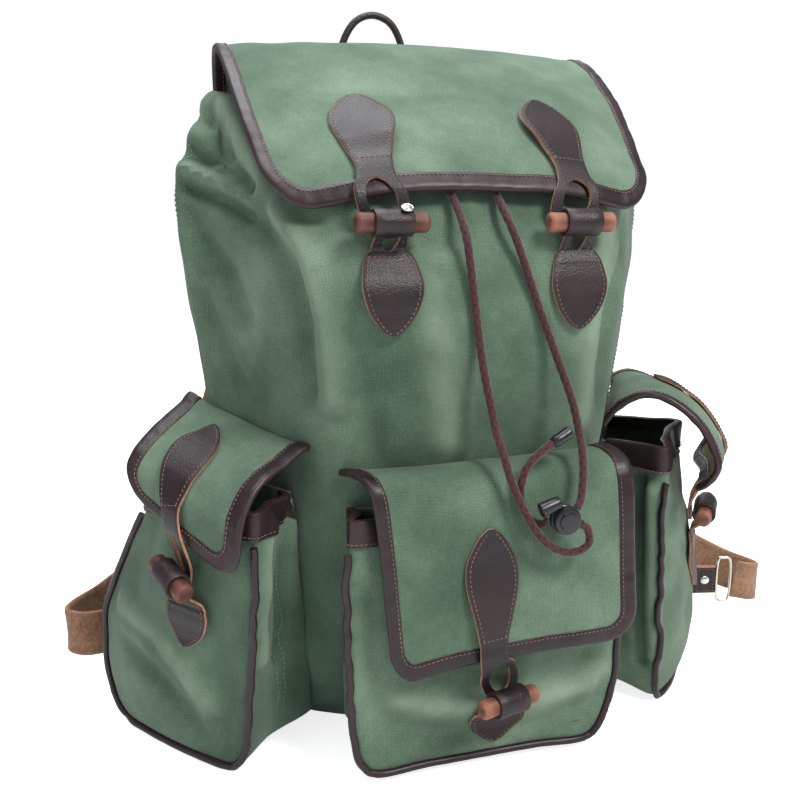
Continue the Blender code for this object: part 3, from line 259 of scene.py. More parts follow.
# Cloth coordinates in metres from a grid's own rows and columns
def plainUv(points):
    points = np.asarray(points, float)
    across = np.linalg.norm(np.diff(points, axis=1), axis=2).mean(axis=0)
    down = np.linalg.norm(np.diff(points, axis=0), axis=2).mean(axis=1)
    u = np.concatenate([[0.0], np.cumsum(across)])
    v = np.concatenate([[0.0], np.cumsum(down)])
    return clothGrid(u, v)


# A tube of rings round a path
def ringsAround(path, side, over, radius, turns):
    return (path[:, None] + side[:, None] * (radius * np.cos(turns))[..., None]
            + over[:, None] * (radius * np.sin(turns))[..., None])


# A closed piece through rings of points, with a cap at each end
def tubePiece(name, rings, uv, worn, materials, sharp):
    draft = Draft()
    draft.grid(rings, uv, wrap=True, worn=worn)
    draft.cap(rings[0])
    draft.cap(rings[-1])
    return draft.close(name, materials, sharp)


def finishPiece(made, slotName, *nodes):
    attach(made, "root")
    if nodes:
        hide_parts(*nodes)
    return made


# Materials

def startMaterial(name, roughness, colour=None, **sockets):
    made = bpy.data.materials.new(name)
    made.use_nodes = True
    shader = made.node_tree.nodes["Principled BSDF"]
    shader.inputs["Roughness"].default_value = roughness
    if colour:
        shader.inputs["Base Color"].default_value = (*colour, 1.0)
    for socket, value in sockets.items():
        shader.inputs[socket.replace("_", " ")].default_value = value
    return made, made.node_tree, shader


def node(tree, kind, links=None, props=None, **values):
    made = tree.nodes.new(kind)
    for key, value in (props or {}).items():
        setattr(made, key, value)
    for key, value in values.items():
        made.inputs[key.replace("_", " ")].default_value = value
    for key, source in (links or {}).items():
        tree.links.new(source, made.inputs[key])
    return made


def objectPlace(tree):
    return node(tree, "ShaderNodeTexCoord").outputs["Object"]


def clothCoordinates(tree, stretch=(1.0, 1.0, 1.0)):
    source = node(tree, "ShaderNodeUVMap", props={"uv_map": "cloth"})
    made = node(tree, "ShaderNodeMapping", {"Vector": source.outputs["UV"]}, Scale=stretch)
    return made.outputs["Vector"]


def blendOf(tree, mode, factor, first, second):
    made = node(tree, "ShaderNodeMix", props={"data_type": "RGBA", "blend_type": mode})
    for place, value in ((0, factor), (6, first), (7, second)):
        if isinstance(value, (float, int)):
            made.inputs[place].default_value = value
        elif isinstance(value, tuple):
            made.inputs[place].default_value = (*value, 1.0)
        else:
            tree.links.new(value, made.inputs[place])
    return made.outputs[2]


def rampOf(tree, source, stops):
    made = node(tree, "ShaderNodeValToRGB", {"Fac": source})
    ramp = made.color_ramp
    while len(ramp.elements) < len(stops):
        ramp.elements.new(0.5)
    for element, (place, colour) in zip(ramp.elements, stops):
        element.position = place
        element.color = (*colour, 1.0) if isinstance(colour, tuple) else (colour, colour, colour, 1.0)
    return made.outputs["Color"]


# Heights are (source, strength, depth in metres)
def bumpInto(tree, shader, heights):
    normal = None
    for source, strength, depth in heights:
        made = node(tree, "ShaderNodeBump", {"Height": source}, Strength=strength, Distance=depth)
        if normal is not None:
            tree.links.new(normal, made.inputs["Normal"])
        normal = made.outputs["Normal"]
    tree.links.new(normal, shader.inputs["Normal"])


def noiseOf(tree, vector, scale, detail=4.0, rough=0.55):
    made = node(tree, "ShaderNodeTexNoise", {"Vector": vector}, Scale=scale, Detail=detail,
                Roughness=rough)
    return made.outputs["Fac"]


def waveOf(tree, vector, bands, scale, distortion, detail, detailScale):
    return node(tree, "ShaderNodeTexWave", {"Vector": vector}, {"bands_direction": bands}, Scale=scale,
                Distortion=distortion, Detail=detail, Detail_Scale=detailScale)


# Reads the worn layer: wear on most pieces, and on the cord the strand height that paints shade into
# the braid's grooves.
def wearAndBraidShadeOf(tree):
    source = node(tree, "ShaderNodeUVMap", props={"uv_map": "worn"})
    return node(tree, "ShaderNodeSeparateXYZ", {"Vector": source.outputs["UV"]}).outputs["X"]


# Worn places show a lighter colour, broken up by the grain
def rubbedInto(tree, colour, grain, worn):
    share = node(tree, "ShaderNodeMath", {0: wearAndBraidShadeOf(tree), 1: grain}, {"operation": "MULTIPLY"})
    return blendOf(tree, "MIX", share.outputs[0], colour, worn)


# The pitch is the distance between two threads
canvasValues = {"dark": (0.040, 0.078, 0.050), "middle": (0.104, 0.168, 0.116),
                "light": (0.230, 0.315, 0.235), "worn": (0.36, 0.45, 0.34),
                "pitch": 0.00085, "roughness": 0.93}


def canvasMaterial(name, values):
    made, tree, shader = startMaterial(name, values["roughness"], Sheen_Weight=0.12,
                                       Sheen_Roughness=0.6, Specular_IOR_Level=0.22)
    flat = clothCoordinates(tree)
    place = objectPlace(tree)
    scale = 0.314 / values["pitch"]
    warp, weft = [waveOf(tree, flat, bands, scale, 1.2, 1.0, 0.6) for bands in ("X", "Y")]
    weave = blendOf(tree, "MULTIPLY", 1.0, warp.outputs["Color"], weft.outputs["Color"])
    along = noiseOf(tree, clothCoordinates(tree, (2400.0, 110.0, 1.0)), 1.0, 3.0)
    over = noiseOf(tree, clothCoordinates(tree, (110.0, 2400.0, 1.0)), 1.0, 3.0)
    grain = noiseOf(tree, flat, 1300.0, 3.0, 0.75)
    mottle = noiseOf(tree, place, 16.0, 5.0, 0.6)
    cloud = noiseOf(tree, place, 5.0, 3.0, 0.5)
    streaks = blendOf(tree, "MIX", 0.5, along, over)
    tone = blendOf(tree, "MIX", 0.62, streaks, grain)
    tone = blendOf(tree, "OVERLAY", 0.60, tone, mottle)
    tone = blendOf(tree, "OVERLAY", 0.40, tone, cloud)
    colour = rampOf(tree, tone, ((0.30, values["dark"]), (0.50, values["middle"]),
                                 (0.74, values["light"])))
    colour = blendOf(tree, "SOFT_LIGHT", 0.35, colour, weave)
    colour = rubbedInto(tree, colour, mottle, values["worn"])
    tree.links.new(colour, shader.inputs["Base Color"])
    bumpInto(tree, shader, ((weave, 0.30, 0.0002), (streaks, 0.20, 0.0002), (grain, 0.40, 0.00025)))
    return made


# The grain is the size of one pebble
leatherValues = {"base": (0.007, 0.0032, 0.004), "light": (0.022, 0.010, 0.012),
                 "worn": (0.085, 0.036, 0.028), "grain": 0.0012, "roughness": 0.44, "relief": 0.00040}


def leatherMaterial(name, values):
    made, tree, shader = startMaterial(name, values["roughness"], Specular_IOR_Level=0.45,
                                       Sheen_Weight=0.015, Sheen_Tint=(0.60, 0.60, 1.0, 1.0))
    flat = clothCoordinates(tree)
    place = objectPlace(tree)
    cells = node(tree, "ShaderNodeTexVoronoi", {"Vector": place}, {"feature": "SMOOTH_F1"},
                 Scale=1.0 / values["grain"], Smoothness=0.6)
    pores = noiseOf(tree, place, 1.6 / values["grain"], 3.0)
    cloud = noiseOf(tree, place, 28.0, 4.0)
    colour = rampOf(tree, cloud, ((0.30, values["base"]), (0.75, values["light"])))
    # Painted shade: the colour is darkened in the hollows of the grain's bump.
    grainHollowShade = rampOf(tree, cells.outputs["Distance"], ((0.0, 0.45), (0.5, 1.0)))
    colour = blendOf(tree, "MULTIPLY", 0.45, colour, grainHollowShade)
    colour = rubbedInto(tree, colour, pores, values["worn"])
    tree.links.new(colour, shader.inputs["Base Color"])
    gloss = node(tree, "ShaderNodeMapRange", {"Value": cloud}, From_Min=0.25, From_Max=0.75,
                 To_Min=values["roughness"] - 0.07, To_Max=values["roughness"] + 0.12)
    tree.links.new(gloss.outputs["Result"], shader.inputs["Roughness"])
    bumpInto(tree, shader, ((cells.outputs["Distance"], 0.55, values["relief"]),
                            (pores, 0.35, 0.00015), (noiseOf(tree, flat, 90.0, 2.0), 0.25, 0.0006)))
    return made


# Raw leather edges, suede, thread and khaki cloth: short fibres along the piece
def fibreMaterial(name, dark, light, stretch, roughness, sheen=0.25, depth=0.0003):
    made, tree, shader = startMaterial(name, roughness, Sheen_Weight=sheen, Specular_IOR_Level=0.25)
    fibres = noiseOf(tree, clothCoordinates(tree, stretch), 1.0, 4.0, 0.65)
    place = objectPlace(tree)
    cloud = noiseOf(tree, place, 35.0, 4.0)
    tone = blendOf(tree, "OVERLAY", 0.8, fibres, cloud)
    colour = rampOf(tree, tone, ((0.25, dark), (0.75, light)))
    colour = blendOf(tree, "MIX", wearAndBraidShadeOf(tree), colour, tuple(min(1.0, c * 1.5) for c in light))
    tree.links.new(colour, shader.inputs["Base Color"])
    bumpInto(tree, shader, ((fibres, 0.5, depth), (noiseOf(tree, place, 700.0, 2.0), 0.25, depth)))
    return made


def woodMaterial(name, dark, light):
    made, tree, shader = startMaterial(name, 0.55, Specular_IOR_Level=0.35)
    flow = clothCoordinates(tree, (420.0, 24.0, 1.0))
    rings = waveOf(tree, flow, "X", 0.10, 7.0, 4.0, 0.7)
    place = objectPlace(tree)
    streaks = noiseOf(tree, flow, 1.0, 6.0, 0.7)
    tone = blendOf(tree, "OVERLAY", 0.30, streaks, rings.outputs["Fac"])
    middle = tuple((a + b) / 2 for a, b in zip(dark, light))
    colour = rampOf(tree, tone, ((0.20, dark), (0.55, middle), (0.85, light)))
    stains = rampOf(tree, noiseOf(tree, place, 90.0), ((0.3, 0.6), (0.7, 1.0)))
    colour = blendOf(tree, "MULTIPLY", 0.35, colour, stains)
    colour = blendOf(tree, "MIX", wearAndBraidShadeOf(tree), colour, tuple(min(1.0, c * 1.35) for c in light))
    tree.links.new(colour, shader.inputs["Base Color"])
    bumpInto(tree, shader, ((streaks, 0.30, 0.0002),))
    return made


def braidMaterial(name, dark, light):
    made, tree, shader = startMaterial(name, 0.72, Sheen_Weight=0.35, Specular_IOR_Level=0.3)
    strands = noiseOf(tree, clothCoordinates(tree, (900.0, 900.0, 1.0)), 1.0, 3.0, 0.7)
    # Painted shade: on the cord the worn layer holds the strand height, so the grooves between strands
    # are painted darker and the crowns lighter.
    lit = blendOf(tree, "OVERLAY", 0.6, rampOf(tree, wearAndBraidShadeOf(tree), ((0.0, 0.0), (1.0, 1.0))), strands)
    tree.links.new(rampOf(tree, lit, ((0.15, dark), (0.85, light))), shader.inputs["Base Color"])
    bumpInto(tree, shader, ((strands, 0.5, 0.0002),))
    return made


def hardMaterial(name, colour, roughness, metallic, scale, depth):
    made, tree, shader = startMaterial(name, roughness, Metallic=metallic)
    place = objectPlace(tree)
    wear = noiseOf(tree, place, scale, 5.0, 0.65)
    tree.links.new(rampOf(tree, wear, ((0.3, tuple(c * 0.7 for c in colour)), (0.7, colour))),
                   shader.inputs["Base Color"])
    gloss = node(tree, "ShaderNodeMapRange", {"Value": wear}, To_Min=roughness * 0.7,
                 To_Max=min(1.0, roughness * 1.4))
    tree.links.new(gloss.outputs["Result"], shader.inputs["Roughness"])
    bumpInto(tree, shader, ((wear, 0.25, depth),))
    return made


canvas = canvasMaterial("sageCanvas", canvasValues)
leather = leatherMaterial("pebbledLeather", leatherValues)
bindingValues = {**leatherValues, "base": (0.009, 0.004, 0.005), "light": (0.028, 0.013, 0.015),
                 "grain": 0.0022, "roughness": 0.40, "relief": 0.00014}
smoothLeather = leatherMaterial("bindingLeather", bindingValues)
rawEdge = fibreMaterial("rawLeatherEdge", (0.20, 0.085, 0.05), (0.50, 0.26, 0.16),
                        (700.0, 260.0, 1.0), 0.85)
suede = fibreMaterial("brownSuede", (0.15, 0.070, 0.040), (0.36, 0.20, 0.12),
                      (260.0, 420.0, 1.0), 0.95, 0.4)
khaki = fibreMaterial("khakiReverse", (0.22, 0.17, 0.07), (0.48, 0.39, 0.18),
                      (900.0, 900.0, 1.0), 0.9, 0.15)
redWood = woodMaterial("redWood", (0.045, 0.014, 0.011), (0.150, 0.052, 0.040))
orangeWood = woodMaterial("orangeWood", (0.10, 0.036, 0.022), (0.32, 0.130, 0.082))
braid = braidMaterial("maroonBraid", (0.010, 0.002, 0.003), (0.058, 0.011, 0.014))
blackPlastic = hardMaterial("blackPlastic", (0.012, 0.013, 0.017), 0.30, 0.0, 60.0, 0.0001)
nickel = hardMaterial("nickelWire", (0.78, 0.74, 0.62), 0.24, 1.0, 220.0, 0.00008)
rivetMetal = hardMaterial("rivetMetal", (0.86, 0.84, 0.78), 0.20, 1.0, 300.0, 0.00006)
trimThread = fibreMaterial("trimThread", (0.13, 0.050, 0.042), (0.34, 0.160, 0.130),
                           (1500.0, 500.0, 1.0), 0.8, 0.2)
clothThread = fibreMaterial("clothThread", (0.10, 0.17, 0.10), (0.26, 0.38, 0.25),
                            (1500.0, 500.0, 1.0), 0.85, 0.2)
print("materials ready")


# The drawcord: two runs from the collar to the lock, and the tail that leaves it

# The pitch is one strand's turn round the cord, and a ring of points is laid at each step
cordValues = {"radius": 0.00265, "sides": 20, "ring": 0.00055, "plaits": 4, "pitch": 0.0150,
              "relief": 0.00016}
cordLeft = metres((
    (-180, -850, 3930), (-170, -955, 3835), (-155, -1060, 3680), (-140, -1100, 3520),
    (-90, -1112, 3130), (-50, -1145, 2810), (0, -1170, 2550), (15, -1220, 2400), (25, -1320, 2280),
    (60, -1390, 2100), (140, -1445, 1900), (260, -1480, 1720), (400, -1485, 1640),
    (510, -1485, 1640), (575, -1485, 1690), (560, -1485, 1780), (505, -1485, 1826),
))
cordRight = metres((
    (140, -850, 3930), (145, -955, 3835), (200, -1055, 3640), (350, -1106, 3200),
    (490, -1122, 2850), (580, -1170, 2580), (605, -1225, 2400), (590, -1320, 2260),
    (565, -1390, 2120), (525, -1445, 1985), (486, -1472, 1929),
))
cordTail = metres((
    (290, -1457, 1853), (235, -1410, 1825), (170, -1378, 1880), (130, -1365, 2000),
    (140, -1365, 2120), (190, -1360, 2220), (290, -1350, 2300), (360, -1340, 2335),
))


def braidedCord(name, route, values):
    path = smoothLine(route, max(60, int(lineLength(route) / values["ring"])))
    run = runOf(path)
    _, side, top = lineFrames(path, (0.0, 1.0, 0.02))
    turns = turnsOf(values["sides"])
    slope = 2 * pi * run[:, None] / values["pitch"]
    first = np.sin(values["plaits"] * (turns[None, :] + slope / values["plaits"] * 2))
    second = np.sin(values["plaits"] * (turns[None, :] - slope / values["plaits"] * 2))
    height = np.maximum(first, second)
    radius = values["radius"] + values["relief"] * height
    points = ringsAround(path, side, top, radius, turns)
    uv = clothGrid(girthOf(values["radius"], values["sides"]), run)
    # The strand height goes into the worn layer, and the braid's colour paints shade in the grooves and
    # lighter crowns from it.
    made = tubePiece(name, points, uv, np.clip(0.5 + 0.5 * height, 0, 1), [braid], 60.0)
    return finishPiece(made, name.replace("Piece", "_cord"))


# A turned solid: stations hold the distance along the axis and the radius there
def turnedPiece(name, centre, axis, top, stations, sides, material, wobble=0.0, seed=1):
    centre, axis, top = (np.asarray(p, float) for p in (centre, axis, top))
    side = np.cross(axis, top)
    turns = turnsOf(sides)
    along = np.array([x for x, _ in stations])
    radius = np.array([r for _, r in stations])[:, None] * np.ones(sides)
    uneven = ripple(np.cos(turns)[None, :], along[:, None] * 60 + np.sin(turns)[None, :], 1.6, seed)
    radius = radius + wobble * uneven
    ring = np.cos(turns)[:, None] * top + np.sin(turns)[:, None] * side
    points = centre + along[:, None, None] * axis + radius[..., None] * ring[None]
    uv = clothGrid(girthOf(radius.mean(), sides), runOf(np.stack([along, radius.mean(1)], 1)))
    edges = np.zeros(len(stations))
    edges[1:3] = 0.5
    edges[-3:-1] = 0.5
    return tubePiece(name, points, uv, edges[:, None], [material], 35.0)


lockValues = {"centre": (0.0400, -0.1480, 0.1860), "radius": 0.0095, "depth": 0.0125}
endValues = {"lower": (0.0297, -0.1495, 0.1971), "lowerWay": (0.940, 0.0, 0.342),
             "lowerTop": (-0.342, 0.0, 0.940), "length": 0.014, "radius": 0.0042}


def buildCords():
    routes = {"drawcord_left": cordLeft, "drawcord_right": cordRight, "drawcord_tail": cordTail}
    for name, route in routes.items():
        made = braidedCord(name + "Piece", route, cordValues)
        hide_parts(name)
    r, d = lockValues["radius"], lockValues["depth"] / 2
    barrel = ((-d, r - 0.0022), (-d + 0.0006, r - 0.0008), (-d + 0.0016, r), (-0.0012, r),
              (-0.0008, r - 0.0006), (0.0008, r - 0.0006), (0.0012, r), (d - 0.0030, r),
              (d - 0.0018, r - 0.0004), (d - 0.0012, r - 0.0016), (d - 0.0012, r - 0.0030),
              (d - 0.0002, r - 0.0034), (d, r - 0.0042))
    lock = turnedPiece("cordLockPiece", lockValues["centre"], frontWay, upWay, barrel, 48,
                       blackPlastic)
    finishPiece(lock, "cord_lock_plastic", "cord_lock")
    tail = np.array(cordTail[-1])
    way = unit(tail - np.array(cordTail[-2]))
    length, radius = endValues["length"], endValues["radius"]
    bell = ((0.0, 0.0031), (0.0006, 0.0035), (0.003, radius), (0.006, radius - 0.0002),
            (0.010, radius), (length, radius), (length + 0.0006, radius - 0.0006),
            (length + 0.001, 0.0030))
    upper = turnedPiece("cordEndUpperPiece", tail + way * 0.0004, way, unit(np.cross(way, frontWay)),
                        bell, 32, blackPlastic)
    finishPiece(upper, "cord_end_upper_plastic", "cord_end_upper")
    bell = ((-0.009, 0.0030), (-0.0075, 0.0034), (-0.009, 0.0044), (-0.0086, 0.0050), (-0.007, 0.0050),
            (0.000, 0.0046), (0.004, 0.0042), (0.0054, 0.0037), (0.006, 0.0028))
    lower = turnedPiece("cordEndLowerPiece", endValues["lower"], endValues["lowerWay"],
                        endValues["lowerTop"], bell, 32, blackPlastic)
    finishPiece(lower, "cord_end_lower_plastic", "cord_end_lower")


buildCords()
print("drawcord laid")


# The canvas sack

cadSurface = surfaceOf(frame["nodes"]["main_bag"])
bodyValues = {"sides": 300, "rows": 130, "wall": 0.0022, "sideY": 0.022, "folds": 11,
              "foldDepth": 0.0040, "foldStart": 0.350, "foldRise": 0.075, "fineFolds": 29,
              "creaseTop": (0.130, 0.392), "creaseFoot": (0.094, 0.245), "creaseWidth": 0.018,
              "creaseDepth": 0.0075, "creaseMiddle": 0.315, "creaseReach": 0.110, "footFade": 0.03}
# Height, half widths of the front, the sides and the back, then the front's and the back's y
bodyRows = metres((
    (0, 840, 1060, 980, -240, 620),
    (50, 940, 1180, 1080, -340, 680),
    (180, 1030, 1320, 1200, -450, 740),
    (450, 1070, 1420, 1280, -600, 800),
    (1100, 1050, 1500, 1360, -730, 820),
    (1900, 1030, 1580, 1420, -850, 820),
    (2500, 1060, 1660, 1480, -970, 830),
    (3000, 1120, 1730, 1510, -1070, 840),
    (3450, 1170, 1800, 1520, -1040, 850),
    (3860, 1160, 1820, 1500, -840, 850),
    (4160, 1100, 1780, 1460, -600, 850),
    (4420, 980, 1700, 1400, -260, 850),
    (4600, 880, 1570, 1320, 0, 840),
    (4660, 800, 1460, 1250, 120, 800),
))
# Depth (a ridge is below zero), width, then points along each fold of the cloth
bodyFolds = metres((
    (150, 70, ((-1590, 300, 4500), (-1580, 130, 4400), (-1570, 70, 4290), (-1530, 0, 4210))),
    (130, 70, ((-1730, 250, 4230), (-1630, 80, 4160), (-1520, -60, 4100), (-1400, -260, 3980))),
    (120, 70, ((-1760, 170, 3990), (-1670, 50, 3950), (-1550, -100, 3890), (-1450, -270, 3790))),
    (-60, 70, ((-1730, 170, 4110), (-1610, 20, 4050), (-1520, -100, 4000), (-1450, -230, 3920))),
    (-70, 80, ((-1510, 410, 4590), (-1450, 50, 4400), (-1370, -150, 4210), (-1320, -340, 3990))),
    (95, 110, ((-1760, 110, 3780), (-1670, 0, 3620), (-1550, -160, 3410), (-1470, -230, 3140))),
    (-110, 100, ((-1250, -520, 3810), (-1100, -820, 3500), (-1020, -880, 3040), (-980, -830, 2620))),
    (115, 110, ((-1360, -410, 3750), (-1220, -700, 3440), (-1150, -760, 3000), (-1110, -730, 2650))),
    (60, 100, ((-1700, 70, 3260), (-1620, 10, 3030), (-1540, -60, 2790), (-1470, -110, 2620))),
    (40, 100, ((-880, -970, 3020), (-830, -940, 2750), (-760, -910, 2480), (-730, -870, 2270))),
    (-35, 120, ((-420, -1050, 3330), (-350, -1070, 2980), (-280, -1000, 2630), (-230, -930, 2310))),
    (40, 80, ((-1140, -650, 3790), (-860, -860, 3700), (-560, -960, 3600), (-220, -950, 3640))),
    (70, 90, ((1390, -370, 3710), (1010, -910, 3280), (970, -900, 2900), (1040, -750, 2510))),
    (-45, 100, ((990, -770, 3780), (800, -1000, 3360), (760, -1000, 2890), (790, -880, 2370))),
    (80, 80, ((1720, 200, 4400), (1800, 100, 4000), (1780, 100, 3600), (1680, 100, 3200))),
    (50, 120, ((-1200, 850, 4400), (-1100, 840, 4000), (-900, 840, 3600), (-700, 840, 3300))),
    (50, 120, ((1200, 850, 4400), (1100, 840, 4000), (900, 840, 3600), (700, 840, 3300))),
    (40, 140, ((-1400, 700, 2400), (-1300, 760, 2000), (-1100, 800, 1600), (-1000, 800, 1100))),
    (40, 140, ((1400, 700, 2500), (1300, 760, 2100), (1120, 800, 1700), (1040, 800, 1200))),
))


def bodyOutline(row):
    _, front, side, back, frontY, backY = row
    sideY = max(bodyValues["sideY"], frontY + 0.042)
    right = [
        (0.60 * front, frontY + 0.002),
        (front, frontY + 0.020),
        (0.52 * front + 0.48 * side, 0.40 * frontY + 0.60 * sideY),
        (side, sideY),
        (0.35 * side + 0.65 * back, 0.35 * sideY + 0.65 * (backY - 0.012)),
        (back - 0.006, backY - 0.004),
        (0.60 * back, backY),
    ]
    return [(0.0, frontY)] + right + [(0.0, backY)] + [(-x, y) for x, y in reversed(right)]


# Normals of a closed ring stack, facing away from its middle
def outwardOf(points):
    around = np.roll(points, -1, axis=1) - np.roll(points, 1, axis=1)
    normals = unit(np.cross(around, np.gradient(points, axis=0)))
    outward = ((points - points.mean(axis=1, keepdims=True)) * normals).sum(axis=2).mean()
    return normals if outward > 0 else -normals


# An open-topped cloth pouch: outer rings from the foot up, an inner wall and a floor
def pouch(name, points, wall, worn):
    inner = points - outwardOf(points) * wall
    floor = points[0, :, 2].mean() + wall
    inner[:, :, 2] = np.maximum(inner[:, :, 2], floor)
    inner[-1, :, 2] = points[-1, :, 2]
    uv = plainUv(np.concatenate([points, points[:, :1]], 1))
    draft = Draft()
    draft.grid(points, uv, wrap=True, worn=worn)
    rim = np.stack([points[-1], (points[-1] + inner[-1]) / 2 + upWay * wall * 0.35, inner[-1]])
    draft.grid(rim, plainUv(np.concatenate([rim, rim[:, :1]], 1)), wrap=True, worn=0.5)
    draft.grid(inner[::-3], uv[::-3], wrap=True)
    draft.grid(np.stack([inner[(len(points) - 1) % 3], inner[0]]), uv[:2], wrap=True)
    draft.cap(points[0])
    draft.cap(inner[0])
    return draft.close(name, [canvas], 60.0)


def buildBody(values):
    levels = smoothLine(np.array(bodyRows) * (3.0, 1, 1, 1, 1, 1), values["rows"])
    levels[:, 0] /= 3.0
    flat = np.array([smoothLine(bodyOutline(row), values["sides"], closed=True) for row in levels])
    z = levels[:, 0][:, None] * np.ones(values["sides"])
    middle = flat.mean(axis=1, keepdims=True)
    outward = unit(flat - middle)
    fold = np.clip((z - values["foldStart"]) / values["foldRise"], 0.0, 1.0)
    place = np.arange(values["sides"]) / values["sides"]
    sideWeight = np.abs(outward[..., 0]) ** 0.7 * (outward[..., 1] < 0.75)
    frontWeight = np.where(outward[..., 1] < 0.3, 0.45, 0.0)
    weight = np.maximum(sideWeight, frontWeight)
    wave = np.cos(2 * pi * values["folds"] * place)[None, :]
    fine = np.cos(2 * pi * values["fineFolds"] * place + 1.3)[None, :]
    sharper = np.sign(wave) * np.abs(wave) ** 0.8 + 0.35 * fine
    shift = sharper * values["foldDepth"] * fold * weight
    (topX, topZ), (footX, footZ) = values["creaseTop"], values["creaseFoot"]
    slope = np.clip((topZ - z) / (topZ - footZ), 0.0, 1.0)
    creaseX = topX + (footX - topX) * slope
    fade = np.clip(1.0 - np.abs(z - values["creaseMiddle"]) / values["creaseReach"], 0.0, 1.0)
    dent = np.exp(-(((np.abs(flat[..., 0]) - creaseX) / values["creaseWidth"]) ** 2))
    shift -= values["creaseDepth"] * fade * dent * (outward[..., 1] < 0)
    points = np.concatenate([flat + outward * shift[..., None], z[..., None]], 2)
    normals = outwardOf(points)
    low = np.clip(z / values["footFade"], 0.0, 1.0)
    worn = np.zeros(z.shape)
    for depth, width, line in bodyFolds:
        near = np.exp(-(nearLine(points, line, cadSurface) / width) ** 2)
        points = points - normals * (depth * near * low)[..., None]
        worn = np.maximum(worn, near * (0.5 if depth < 0 else 0.0))
    run = place[None, :] * 0.9
    uneven = ripple(run, z, 0.085, 3) * 0.0011 + ripple(run, z * 0.6, 0.036, 8) * 0.0005
    points = points + outwardOf(points) * (uneven * low)[..., None]
    points[:, :, 2] = np.maximum(points[:, :, 2], 0.0)
    made = pouch("canvasSack", points, values["wall"], worn)
    return finishPiece(made, "main_bag_canvas", "main_bag"), points


sack, sackPoints = buildBody(bodyValues)
sackSurface = surfaceOf(sack)
print("sack made")


# Sheets: the lid and the flaps are laid out as x across and y down from the seam

# A smooth surface through a net of points
class Sheet:
    def __init__(self, net, width, length, sign=1.0, uneven=None):
        net = np.array(net, float)
        for axis in (0, 1):
            first, second = np.take(net, [0], axis), np.take(net, [1], axis)
            last, before = np.take(net, [-1], axis), np.take(net, [-2], axis)
            net = np.concatenate([2 * first - second, net, 2 * last - before], axis)
        self.net, self.width, self.length, self.sign, self.uneven = net, width, length, sign, uneven

    def weigh(self, share, count):
        place = np.clip(share, 0.0, 1.0) * (count - 1)
        first = np.minimum(place.astype(int), count - 2)
        f = place - first
        weights = np.stack([-f + 2 * f**2 - f**3, 2 - 5 * f**2 + 3 * f**3,
                            f + 4 * f**2 - 3 * f**3, f**3 - f**2], 1)
        return first, weights / 2

    def raw(self, x, y):
        shape = np.broadcast(x, y).shape
        x, y = (np.broadcast_to(p, shape).ravel().astype(float) for p in (x, y))
        i, wi = self.weigh(0.5 + x / self.width, self.net.shape[0] - 2)
        j, wj = self.weigh(y / self.length, self.net.shape[1] - 2)
        total = np.zeros((len(x), 3))
        for a in range(4):
            for b in range(4):
                total += (wi[:, a] * wj[:, b])[:, None] * self.net[i + a, j + b]
        return total.reshape(*shape, 3)

    # Point, normal and across direction; height is above the middle of the cloth
    def at(self, x, y, height=0.0):
        x, y = np.broadcast_arrays(np.asarray(x, float), np.asarray(y, float))
        x = np.clip(x, -self.width / 2, self.width / 2)
        y = np.clip(y, 0.0, self.length)
        step = 0.0012
        x0, x1 = np.maximum(x - step, -self.width / 2), np.minimum(x + step, self.width / 2)
        y0, y1 = np.maximum(y - step, 0.0), np.minimum(y + step, self.length)
        across = self.raw(x1, y) - self.raw(x0, y)
        normal = unit(np.cross(across, self.raw(x, y1) - self.raw(x, y0))) * self.sign
        here = self.raw(x, y)
        if self.uneven:
            here = here + normal * self.uneven(x, y)[..., None]
        return here + normal * np.asarray(height)[..., None], normal, unit(across)


# Down the first side, round the hem and up the other side, at a distance in from the edge
def hemLine(width, length, corner, inset, sideCount=70, cornerSteps=18, hemSteps=70):
    half = width / 2
    path = [(-half, (length - corner) * k / sideCount, -1.0, 0.0) for k in range(sideCount)]
    for k in range(cornerSteps + 1):
        turn = pi / 2 * k / cornerSteps
        path.append((-half + corner - corner * cos(turn), length - corner + corner * sin(turn),
                     -cos(turn), sin(turn)))
    first, last = -half + corner, half - corner
    path += [(first + (last - first) * k / hemSteps, length, 0.0, 1.0) for k in range(1, hemSteps)]
    path += [(-x, y, -nx, ny) for x, y, nx, ny in reversed(path[:sideCount + cornerSteps + 1])]
    return np.array([(x - nx * inset, y - ny * inset) for x, y, nx, ny in path])


sheetValues = {"binding": 0.0135, "bindingThick": 0.0052, "tuck": 0.0055, "columns": 90, "rows": 110,
               "stitchInset": 0.0114}


# The cloth inside the binding, with rounded lower corners
def clothPanel(name, sheet, corner, thickness, materials, values):
    inset = values["tuck"]
    half = sheet.width / 2 - inset
    radius = corner - inset
    depth = sheet.length - inset
    y = np.concatenate([np.linspace(0.0, depth - radius, values["rows"], endpoint=False),
                        depth - radius + radius * np.sin(np.linspace(0, pi / 2, 24))])
    over = np.maximum(0.0, y - (depth - radius))
    reach = half - radius + np.sqrt(np.maximum(radius**2 - over**2, 0.0))
    x = reach[:, None] * np.linspace(-1, 1, values["columns"] + 1)[None, :]
    y = np.broadcast_to(y[:, None], x.shape)
    layers = [sheet.at(x, y, thickness / 2 * side)[0] for side in (1, -1)]
    uv = np.stack([x, y], 2)
    draft = Draft()
    draft.grid(layers[0], uv, 0)
    draft.grid(layers[1], uv, len(materials) - 1)
    for pick in (0, -1, (slice(None), 0), (slice(None), -1)):
        draft.grid(np.stack([layers[0][pick], layers[1][pick]]), np.stack([uv[pick], uv[pick] + 0.001]))
    down, across = np.diff(layers[0], axis=0)[:, :-1], np.diff(layers[0], axis=1)[:-1]
    area = float(np.linalg.norm(np.cross(down, across), axis=2).sum())
    return draft.close(name, materials, 50.0), area


